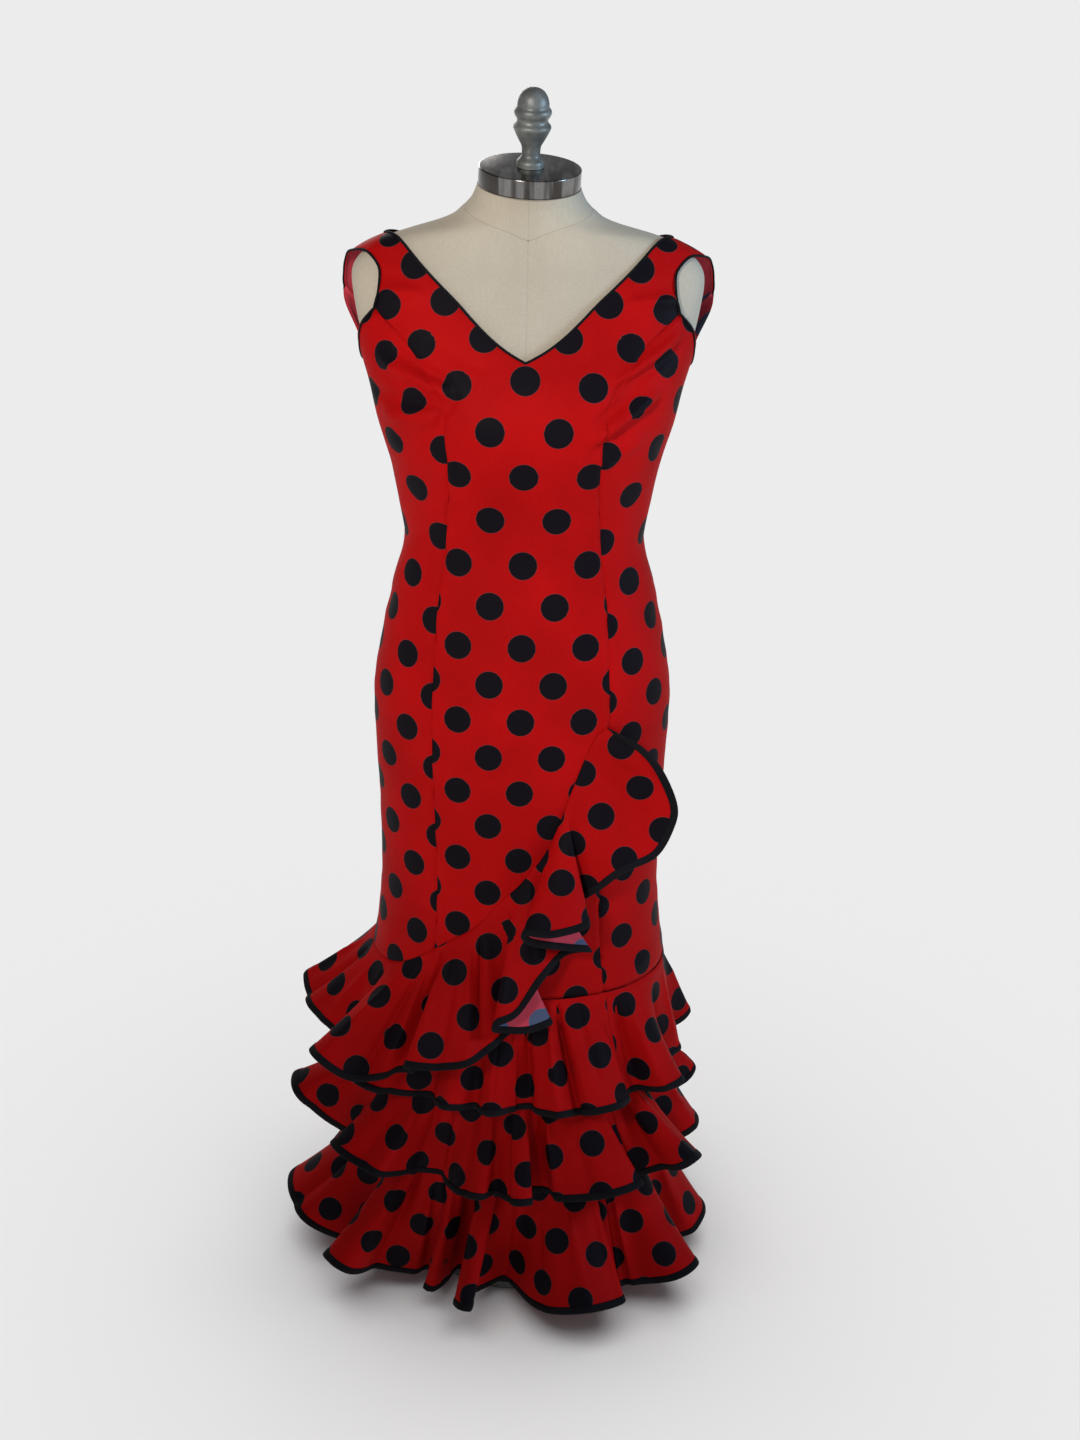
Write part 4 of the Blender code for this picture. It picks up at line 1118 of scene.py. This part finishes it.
def flounce_binding(name, cut):
    """Bias binding round the free edge of a flounce."""
    seam, free, _, _, closed = cut

    def ring(rows):
        return np.concatenate([rows, rows[:1]]) if closed else rows

    whole = np.ones(len(seam))
    tip = draped(cut, whole[None, :])[0]
    fall = tip - draped(cut, 0.98 * whole[None, :])[0]
    fall /= np.linalg.norm(fall, axis=1)[:, None]
    run = np.roll(tip, -1, axis=0) - np.roll(tip, 1, axis=0) if closed else np.gradient(tip, axis=0)
    run /= np.linalg.norm(run, axis=1)[:, None]
    across = np.linalg.norm(np.cross(run, free - seam), axis=1)
    normal = np.cross(run, fall)
    normal /= np.linalg.norm(normal, axis=1)[:, None]
    if (normal[:, :2] * tip[:, :2]).sum() < 0:
        normal = -normal

    def back(inward):
        share = 1 - np.minimum(max(inward, 0) / across, 0.55)
        return ring(draped(cut, share[None, :])[0] + fall * max(-inward, 0) - normal * CLOTH / 2)

    return strip_piece(name, ring(tip), ring(normal), BINDING_OUTLINE, back, closed)


print("binding outline:", len(BINDING_OUTLINE), "points")

# %% The three tiers
TIER_OFFSETS = {"tier_1": (0.012, 0.020), "tier_2": (0.030, 0.004), "tier_3": (0.002, 0.033)}

tiers = {}
tier_sizes = {}
for name, tier in TIERS.items():
    seam, free = tier_lines(tier)
    cut = (seam, free, tier["drape"], FLOUNCE_CREASES[name], True)
    turn = azimuth_of(seam)
    join = int(np.argmin(np.abs(turn - TIER_JOIN)))
    other = int(np.argmin(np.abs(turn - TIER_JOIN + 180)))
    halves = {
        "front": [(other + i) % TIER_COLUMNS for i in range((join - other) % TIER_COLUMNS + 1)],
        "back": [(join + i) % TIER_COLUMNS for i in range((other - join) % TIER_COLUMNS + 1)],
    }
    for half, picked in halves.items():
        node = f"{name}_{half}"
        tiers[node] = flounce(node + "_flounce", cut, picked, TIER_OFFSETS[name])
        inner, outer = steps_along(seam[picked]).sum(), steps_along(free[picked]).sum()
        tier_sizes[node] = (inner, outer, tier["depth"])
    tiers[f"{name}_binding"] = flounce_binding(f"{name}_bias", cut)
    print(name, "edge", round(sum(tier_sizes[f"{name}_{half}"][1] for half in halves), 2), "m")

# %% [markdown]
# The wrap flounce is the dress's show piece. Its seam climbs from the centre back round the wearer's right
# hip to the left princess seam, and near its upper end the cloth turns back under itself in two cones that
# open towards the viewer and show the paler wrong side. Each row of the table ties one place on the seam to
# the place where that column of cloth ends.

# %% Wrap flounce
WRAP_LAP = 0.0010
WRAP_DRAPE = 1.15
WRAP_SEAM = (
    (-179, 0.486), (-120, 0.486), (-80, 0.488), (-59, 0.5), (-37, 0.546), (-23, 0.573), (-9, 0.61),
    (3, 0.639), (17, 0.686), (37, 0.812), (45, 0.84),
)
WRAP_FOLDS = (
    # azimuth on the seam, azimuth of the free edge, its radius, its height
    (44.8, 46, 0.152, 0.838), (43, 52, 0.184, 0.821), (41, 56, 0.208, 0.792), (38.5, 59, 0.226, 0.744),
    (36, 58, 0.225, 0.712), (33.5, 53, 0.214, 0.678), (31, 42, 0.196, 0.664), (29, 34, 0.181, 0.641),
    (27.5, 26, 0.165, 0.616), (25.5, 25, 0.21, 0.614), (22.5, 12, 0.22, 0.611), (19, 2, 0.209, 0.609),
    (17, 5, 0.192, 0.585), (14.5, 19, 0.181, 0.567), (12, 31, 0.18, 0.555), (10, 30, 0.164, 0.548),
    (8, 21, 0.163, 0.546), (6, 10, 0.186, 0.528), (3.5, 1, 0.206, 0.494), (1, -6, 0.214, 0.482),
    (-1.5, -8, 0.208, 0.47), (-4, -5, 0.195, 0.46), (-6.5, 5, 0.186, 0.455), (-9, 15, 0.179, 0.461),
    (-12, 8, 0.167, 0.455), (-15.5, -2, 0.174, 0.446), (-19, -8, 0.2, 0.438), (-23.5, -15, 0.23, 0.428),
    (-28, -22, 0.25, 0.429), (-33, -30, 0.256, 0.422), (-38, -37, 0.24, 0.4), (-43, -41, 0.26, 0.388),
    (-50, -48, 0.292, 0.388), (-58, -59, 0.308, 0.404), (-68, -70, 0.26, 0.385), (-78, -81, 0.286, 0.398),
    (-87, -90, 0.294, 0.402), (-97, -99, 0.294, 0.402), (-107, -109, 0.272, 0.388), (-116, -117, 0.23, 0.35),
    (-125, -127, 0.276, 0.39), (-136, -137, 0.28, 0.392), (-147, -147, 0.218, 0.348),
    (-157, -157, 0.258, 0.384), (-167, -167, 0.262, 0.384), (-178, -178, 0.246, 0.37),
)
WRAP_COLUMNS = 520


def wrap_lines():
    """Seam point and free edge point of each column of the wrap flounce."""
    folds = np.array(WRAP_FOLDS)
    turn = np.radians(folds[:, 1])
    x, y = folds[:, 2] * np.sin(turn), -folds[:, 2] * np.cos(turn)
    spots = np.stack([x, y, folds[:, 3], folds[:, 0]], 1)
    lines = along(spots, WRAP_COLUMNS, scale=(1, 1, 1, 0))[::-1]
    climb = along(WRAP_SEAM, 200)
    level = np.interp(lines[:, 3], climb[:, 0], climb[:, 1])
    return on_figure(lines[:, 3], level, WRAP_LAP + CLOTH), lines[:, :3]


wrap_seam, wrap_free = wrap_lines()
wrap_cut = (wrap_seam, wrap_free, WRAP_DRAPE, FLOUNCE_CREASES["wrap"], False)
wrap_flounce = flounce("wrap_flounce_cascade", wrap_cut, slice(None), (0.02, 0.01))
wrap_binding = flounce_binding("wrap_bias", wrap_cut)
print("wrap edge:", round(float(steps_along(wrap_free).sum()), 2), "m")

# %% [markdown]
# The neckline and armholes are finished with the same black bias, turned over a thin cord. Seen from the
# front it is a line about 4 mm wide. It runs on the very edge of the panels, half over their outer side.

# %% Neck and armhole piping
PIPING_OUTLINE = (
    # distance in from the edge of the cloth, distance out from the figure
    (0.0014, -0.0008), (0.0017, 0.0003), (0.0012, 0.0011), (0.0003, 0.0015), (-0.0007, 0.0012),
    (-0.0013, 0.0003), (-0.0012, -0.0008), (-0.0004, -0.0014), (0.0007, -0.0014),
)


def mirrored(points):
    return np.array(points, float) * (-1, 1)


def piping(name, chart, closed=True):
    """A corded edge along chart places that run round an opening."""
    line = on_figure(chart[:, 0], chart[:, 1])
    normal = outward(line)
    line = line + loose(chart[:, 0], chart[:, 1])
    run = np.roll(line, -1, axis=0) - np.roll(line, 1, axis=0)
    run /= np.linalg.norm(run, axis=1)[:, None]
    inward = np.cross(normal, run)
    line, normal, inward = (np.concatenate([ring, ring[:1]]) for ring in (line, normal, inward))
    return strip_piece(name, line, normal, PIPING_OUTLINE, lambda back: line + inward * back, closed)


def neck_chart():
    front, back = edge(NECK_FRONT, 110), edge(NECK_BACK, 100)
    left = np.concatenate([front, back[::-1][1:]])
    return np.concatenate([left, mirrored(left)[::-1][1:-1]])


def arm_chart(side):
    parts = (edge(ARM_LOW, 24), edge(ARM_LOW_BACK, 22), edge(ARM_BACK, 30), edge(ARM_FRONT, 30)[::-1])
    loop = np.concatenate([part[1:] for part in parts])
    return loop * (side, 1)


neck_piping = piping("neck_bias", neck_chart())
arm_left = piping("armhole_bias_left", arm_chart(1)[::-1])
arm_right = piping("armhole_bias_right", arm_chart(-1))
print("pipings:", neck_piping.name, arm_left.name, arm_right.name)

# %% [markdown]
# The form is a moulded torso covered in natural linen. A cover is sewn too: a seam runs down the centre
# front and another round the base of the neck, and both show as fine dents. The body is a tube of grid
# cells, closed at the bottom and at the sloping neck.

# %% Linen form
FORM_FOOT = 0.80
NECK_TOP = 1.4590
NECK_TILT = math.radians(11)
NECK_BEND = 1.41
NECK_WAIST = 1.425  # the neck is slimmest here
NECK_SLIM = (0.15, 0.011, 0.05, 0.020)  # share and spread of the hollow, share and rise of the part above it
SEAM_DENTS = ((0.0005, 0.0016), (0.0004, 0.0014))  # depth and width: round the neck, down the centre
FORM_RADIUS = (0.15, 0.12)  # for lengths round the chest and across the centre front
SHOULDER = 1.34
FORM_COLUMNS = 144
NECK_LEAN = math.radians(2.1)  # towards the wearer's left
NECK_SEAM = ((0, 1.4030), (10, 1.4055), (20, 1.4100), (43, 1.4200), (65, 1.4300), (90, 1.4385), (120, 1.4410),
             (150, 1.4425), (180, 1.4430))


def lean(x, y, height):
    """How far the top of the neck is raised by its slope and its lean."""
    share = np.clip((height - NECK_BEND) / (NECK_TOP - NECK_BEND), 0, 1)
    return (y * math.tan(NECK_TILT) - x * math.tan(NECK_LEAN)) * share


def form_places(levels):
    turn = np.radians(np.linspace(-180, 180, FORM_COLUMNS + 1))
    direction = np.stack([np.sin(turn), -np.cos(turn), 0 * turn], 1)
    rings = []
    for level in levels:
        ring = reach(np.tile((0.0, 0.0, level), (len(turn), 1)), direction)
        ease = section(ring[:, 2])[:, 4]
        ring = ring - outward(ring) * (CLOTH + ease)[:, None]
        if level in (levels[0], levels[-1]):
            ring[:, 2] = level
        rings.append(ring)
    places = np.stack(rings)
    above = levels - NECK_WAIST
    slim, spread, slim_above, rise = NECK_SLIM
    hollow = slim * np.exp(-((above / spread) ** 2)) + slim_above * np.clip(above / rise, 0, 1)
    places[..., 0] *= (1 - hollow)[:, None]
    seam_level = np.interp(np.abs(np.degrees(turn)), *np.array(NECK_SEAM).T)
    (neck_dent, neck_width), (centre_dent, centre_width) = SEAM_DENTS
    away = (levels[:, None] - seam_level[None, :]) / neck_width
    centre = np.minimum(np.abs(turn), np.pi - np.abs(turn))[None, :] * FORM_RADIUS[1] / centre_width
    below = levels[:, None] < seam_level
    dent = neck_dent * np.exp(-(away**2)) + centre_dent * np.exp(-(centre**2)) * below
    places -= outward(places) * dent[..., None]
    places[..., 2] += lean(places[..., 0], places[..., 1], levels[:, None])
    return places, turn


def linen_form():
    levels = np.concatenate([np.linspace(FORM_FOOT, SHOULDER, 50)[:-1], np.linspace(SHOULDER, NECK_TOP, 60)])
    places, turn = form_places(levels)
    girth = np.broadcast_to((turn * FORM_RADIUS[0])[None, :], places.shape[:2])
    rise = run_along(places[:, FORM_COLUMNS // 2])
    layout = np.stack([girth, np.broadcast_to(rise[:, None], places.shape[:2])], -1)
    work = bmesh.new()
    layer = work.loops.layers.uv.new("Cloth")
    grid_into(work, layer, places, layout)
    away = work.loops.layers.uv.new("Seams")
    turns, seam_levels = np.array(NECK_SEAM).T
    for face in work.faces:
        for corner in face.loops:
            x, y, z = corner.vert.co
            seam_level = np.interp(abs(math.degrees(math.atan2(x, -y))), turns, seam_levels)
            corner[away].uv = (x if y < 0 else 1.0, z - lean(x, y, z) - seam_level)
    bmesh.ops.remove_doubles(work, verts=work.verts, dist=0.00002)
    bmesh.ops.holes_fill(work, edges=[side for side in work.edges if side.is_boundary], sides=0)
    bmesh.ops.recalc_face_normals(work, faces=work.faces)
    return work


LINEN_TONES = ((0.385, 0.335, 0.262, 1), (0.455, 0.402, 0.322, 1))
LINEN_LINE = (0.150, 0.120, 0.085, 1)


def linen():
    """Unbleached linen: fine upright slubs, quite matt, with its seams as thin darker lines."""
    made, tree, shader = new_material("linen", 0.9)
    place = uv_place(tree)
    threads = place_group(tree, weave, Cloth=place, Threads=700.0, Slub=0.30)
    upright = noise(tree, vectors(tree, "MULTIPLY", object_place(tree), (1, 1, 0.03)), 800.0, 2.0)
    uneven = maths(tree, "ADD", threads.outputs["Tone"], maths(tree, "SUBTRACT", upright, 0.5))
    colour = blend_colours(tree, ramp(tree, uneven, -0.6, 0.6), *LINEN_TONES)
    from_seams = uv_place(tree, "Seams")
    apart = tree.nodes.new("ShaderNodeSeparateXYZ")
    tree.links.new(from_seams, apart.inputs[0])
    lines = []
    for label, weight in (("X", 0.55), ("Y", 1.0)):
        lines.append(ramp(tree, maths(tree, "ABSOLUTE", apart.outputs[label]), 0.0002, 0.0009, weight, 0.0))
    pin = ramp(tree, vectors(tree, "LENGTH", from_seams), 0.0007, 0.0016, 2.6, 0.0)
    line = maths(tree, "MAXIMUM", maths(tree, "MAXIMUM", *lines), pin)
    colour = blend_colours(tree, maths(tree, "MULTIPLY", line, 0.26), colour, LINEN_LINE)
    finish_look(tree, shader, colour, specular=0.12, sheen=0.03)
    height = maths(tree, "SUBTRACT", threads.outputs["Height"], maths(tree, "MULTIPLY", line, 1.6))
    bump_from(tree, shader, height, 0.35, 0.0003)
    return made


form = finish_mesh("form_linen", linen_form(), [linen()])
form.data.set_sharp_from_angle(angle=math.radians(60))
print(form.name, len(form.data.polygons), "faces")

# %% [markdown]
# The neck is closed by a brushed steel cap, and a turned finial with silver paint stands on it. Both are
# lathe work, so each is a profile spun round its axis. The cap leans forward with the slope of the neck.

# %% Metal finishes
# the steel's own dark tone, and the lighter tone of its painted reflections
STEEL_AND_PAINTED_REFLECTION_TONES = ((0.060, 0.052, 0.046, 1), (0.250, 0.242, 0.235, 1))
STEEL_LINE = (0.120, 0.115, 0.110, 1)
SILVER_TONES = ((0.105, 0.110, 0.104, 1), (0.185, 0.190, 0.180, 1))


def brushed_steel():
    """Dark steel with fine upright brush lines and painted reflections: broad lighter and darker streaks."""
    made, tree, shader = new_material("brushed_steel", 0.3, 1.0)
    place = object_place(tree)
    lines = noise(tree, vectors(tree, "MULTIPLY", place, (1.0, 1.0, 0.02)), 900.0, 3.0)
    painted_reflection_bands = noise(tree, vectors(tree, "MULTIPLY", place, (1.0, 0.25, 0.05)), 75.0, 2.0)
    # painted reflection: broad lighter and darker streaks in the colour stand in for the room mirrored in it
    colour = blend_colours(tree, ramp(tree, painted_reflection_bands, 0.46, 0.62), *STEEL_AND_PAINTED_REFLECTION_TONES)
    colour = blend_colours(tree, ramp(tree, lines, 0.3, 0.7, 0.0, 0.35), colour, STEEL_LINE)
    finish_look(tree, shader, colour, maths(tree, "ADD", 0.14, maths(tree, "MULTIPLY", lines, 0.16)))
    bump_from(tree, shader, lines, 0.10, 0.0002)
    return made


def silver_paint():
    """Silver paint over cast metal, with brush drag and a rough skin."""
    made, tree, shader = new_material("silver_paint", 0.5, 0.45)
    place = object_place(tree)
    drag = noise(tree, vectors(tree, "MULTIPLY", place, (1.0, 1.0, 0.35)), 260.0, 4.0)
    grain = noise(tree, place, 900.0, 2.0)
    cloud = noise(tree, place, 60.0, 3.0)
    colour = blend_colours(tree, ramp(tree, cloud, 0.35, 0.7), *SILVER_TONES)
    finish_look(tree, shader, colour, ramp(tree, drag, 0.3, 0.75, 0.40, 0.58))
    height = maths(tree, "ADD", maths(tree, "MULTIPLY", drag, 0.7), maths(tree, "MULTIPLY", grain, 0.3))
    bump_from(tree, shader, height, 0.28, 0.0005)
    return made


steel_look = brushed_steel()
silver_look = silver_paint()
print("metals:", steel_look.name, silver_look.name)

# %% Lathe work
CAP_RADIUS = 0.058
CAP_THICK = 0.0205
CAP_FORWARD = -0.004
SEAT = 0.0003  # the gap between two solid pieces that touch
BASE_RADIUS = 0.135
BASE_THICK = 0.012
POLE_RADIUS = 0.0125
FINIAL = (
    # radius and height in mm
    (0, 0), (14.6, 0), (15.6, 1), (15.7, 4.6), (14.8, 6.8), (12.2, 9.6), (10.6, 12.2), (10.4, 15),
    (10.6, 19.5), (11.4, 23.5), (13.6, 27.2), (16, 31.5), (18, 35.2), (19.6, 38.6), (20.9, 41.5),
    (21.2, 43.2), (20.5, 45.2), (18.4, 47.4), (17.3, 49.8), (17.7, 52), (19.6, 54.8), (20.8, 57.5),
    (21, 59.8), (20, 62.2), (18.5, 63.8), (18.1, 65.2), (17.7, 68.8), (16.6, 73), (14.6, 77.2), (11.2, 81.2),
    (6.2, 83.8), (0, 84.6),
)
NECK_PLACE = (Matrix.Translation((0, 0, NECK_TOP + SEAT)) @ Matrix.Rotation(NECK_TILT, 4, "X")
              @ Matrix.Rotation(NECK_LEAN, 4, "Y"))


def rounded(radius, low, high, soft, steps=5):
    """The profile of a disc from its axis at the bottom to its axis at the top, with round corners."""
    turn = np.linspace(0, math.pi / 2, steps + 1)
    lower = [(radius - soft + soft * math.sin(a), low + soft - soft * math.cos(a)) for a in turn]
    upper = [(radius - soft + soft * math.cos(a), high - soft + soft * math.sin(a)) for a in turn]
    return [(0, low)] + lower + upper + [(0, high)]


def turned(name, profile, look, steps, place=Matrix.Identity(4)):
    """A piece spun from (radius, height) pairs."""
    work = bmesh.new()
    spots = [work.verts.new((radius, 0, height)) for radius, height in profile]
    lines = [work.edges.new(pair) for pair in zip(spots, spots[1:])]
    bmesh.ops.spin(work, geom=spots + lines, cent=(0, 0, 0), axis=(0, 0, 1), angle=math.tau, steps=steps,
                   use_merge=True)
    bmesh.ops.remove_doubles(work, verts=work.verts, dist=0.00001)
    bmesh.ops.recalc_face_normals(work, faces=work.faces)
    bmesh.ops.transform(work, matrix=place, verts=work.verts)
    made = finish_mesh(name, work, [look])
    made.data.set_sharp_from_angle(angle=math.radians(50))
    return made


cap = turned("steel_cap", rounded(CAP_RADIUS, 0, CAP_THICK, 0.0014), steel_look, 128,
             NECK_PLACE @ Matrix.Translation((0, CAP_FORWARD, 0)))
finial = turned("silver_finial", along(np.array(FINIAL) * MM, 90), silver_look, 72,
                NECK_PLACE @ Matrix.Translation((0, CAP_FORWARD, CAP_THICK + SEAT)))
base = turned("stand_base", rounded(BASE_RADIUS, 0, BASE_THICK, 0.0025), silver_look, 160)
pole = turned("stand_pole", rounded(POLE_RADIUS, BASE_THICK + SEAT, FORM_FOOT - SEAT, 0.0008), steel_look, 48)
print("lathe work:", cap.name, finial.name, base.name, pole.name)

# %% [markdown]
# The solid of the part that each new piece stands for is hidden, so that only the new piece shows.

# %% What stands for what
dress_panel("front_centre")
for node, piece in panels.items():
    dress_panel(node)
dress_panel("inner_skirt_front")
dress_panel("inner_skirt_back")

for node, piece in tiers.items():
    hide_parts(node)
    if node.endswith("binding"):
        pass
    else:
        inner, outer, depth = tier_sizes[node]

# %% The wrap flounce, the trims, the form and its stand
for piece, node, slot in (
    (wrap_flounce, "wrap_flounce", "cloth"),
    (wrap_binding, "wrap_binding", "bias"),
    (neck_piping, "neck_piping", "bias"),
    (arm_left, "armhole_piping_left", "bias"),
    (arm_right, "armhole_piping_right", "bias"),
    (form, "form_body", "linen"),
    (cap, "neck_cap", "steel"),
    (pole, "pole", "steel"),
    (finial, "finial", "silver"),
    (base, "base", "silver"),
):
    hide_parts(node)

# %% [markdown]
# The studio is a plain pale floor with soft light. A photographer lights the backdrop and the subject apart,
# so that the floor is pale while the dress keeps its deep colour: one lamp here shines on the floor alone,
# through light linking. The dress has a soft main light high in front on the left that fades towards the
# hem, a weaker cool one from the right, and one behind for the back.

# %% The floor and the air round it
FLOOR_TONE = 0.84  # how the air behind the dress looks to the camera
AMBIENT = 0.20  # how much it lights the dress
FLOOR_LIGHT = 2.44  # makes the floor come out in the tone of the air


def studio_floor():
    made, _, shader = new_material("pale_floor", 0.95)
    shader.inputs["Base Color"].default_value = (0.86, 0.86, 0.86, 1)
    shader.inputs["Specular IOR Level"].default_value = 0.0
    work = bmesh.new()
    bmesh.ops.create_grid(work, x_segments=1, y_segments=1, size=40)
    mesh = bpy.data.meshes.new("floor")
    work.to_mesh(mesh)
    work.free()
    mesh.materials.append(made)
    floor = bpy.data.objects.new("floor", mesh)
    bpy.context.scene.collection.objects.link(floor)
    return floor


def studio_air():
    """A dim even world that the camera sees as the same pale tone as the floor."""
    world = bpy.data.worlds.new("studio")
    world.use_nodes = True
    tree = world.node_tree
    background = tree.nodes["Background"]
    seen = tree.nodes.new("ShaderNodeLightPath").outputs["Is Camera Ray"]
    feed(tree, blend_colours(tree, seen, (AMBIENT, AMBIENT, AMBIENT * 1.03, 1), (FLOOR_TONE,) * 3 + (1,)),
         background.inputs["Color"])
    background.inputs["Strength"].default_value = 1.0
    bpy.context.scene.world = world


floor = studio_floor()
studio_air()
bpy.context.scene.view_settings.view_transform = "Standard"
print("floor:", floor.name)

# %% Lamps
def lamp(name, kind, place, target, power, colour, **settings):
    data = bpy.data.lights.new(name, kind)
    data.energy = power
    data.color = colour
    for label, value in settings.items():
        setattr(data, label, value)
    made = bpy.data.objects.new(name, data)
    bpy.context.scene.collection.objects.link(made)
    made.location = place
    made.rotation_euler = (Vector(target) - Vector(place)).to_track_quat("-Z", "Y").to_euler()
    return made


dress_lamps = [
    lamp("main_light", "SPOT", (-0.75, -2.0, 2.10), (0, 0, 1.11), 157, (1.0, 0.962, 0.91),
         spot_size=math.radians(43), spot_blend=1.0, shadow_soft_size=0.16),
    lamp("side_light", "AREA", (2.0, -0.6, 1.85), (0, 0, 1.15), 32, (0.47, 0.72, 1.0),
         shape="DISK", size=0.6),
    lamp("back_light", "AREA", (-0.8, 2.3, 2.0), (0, 0, 0.95), 26, (1.0, 0.98, 0.95),
         shape="DISK", size=1.4),
]
floor_light = lamp("floor_light", "SUN", (0, 0, 4), (0, 0, 0), FLOOR_LIGHT, (1, 1, 1), angle=math.radians(70))
only_floor = bpy.data.collections.new("lit_by_floor_light")
only_floor.objects.link(floor)
floor_light.light_linking.receiver_collection = only_floor
all_but_floor = bpy.data.collections.new("not_lit_by_dress_lamps")
all_but_floor.objects.link(floor)
all_but_floor.collection_objects[0].light_linking.link_state = "EXCLUDE"
for dress_lamp in dress_lamps:
    dress_lamp.light_linking.receiver_collection = all_but_floor
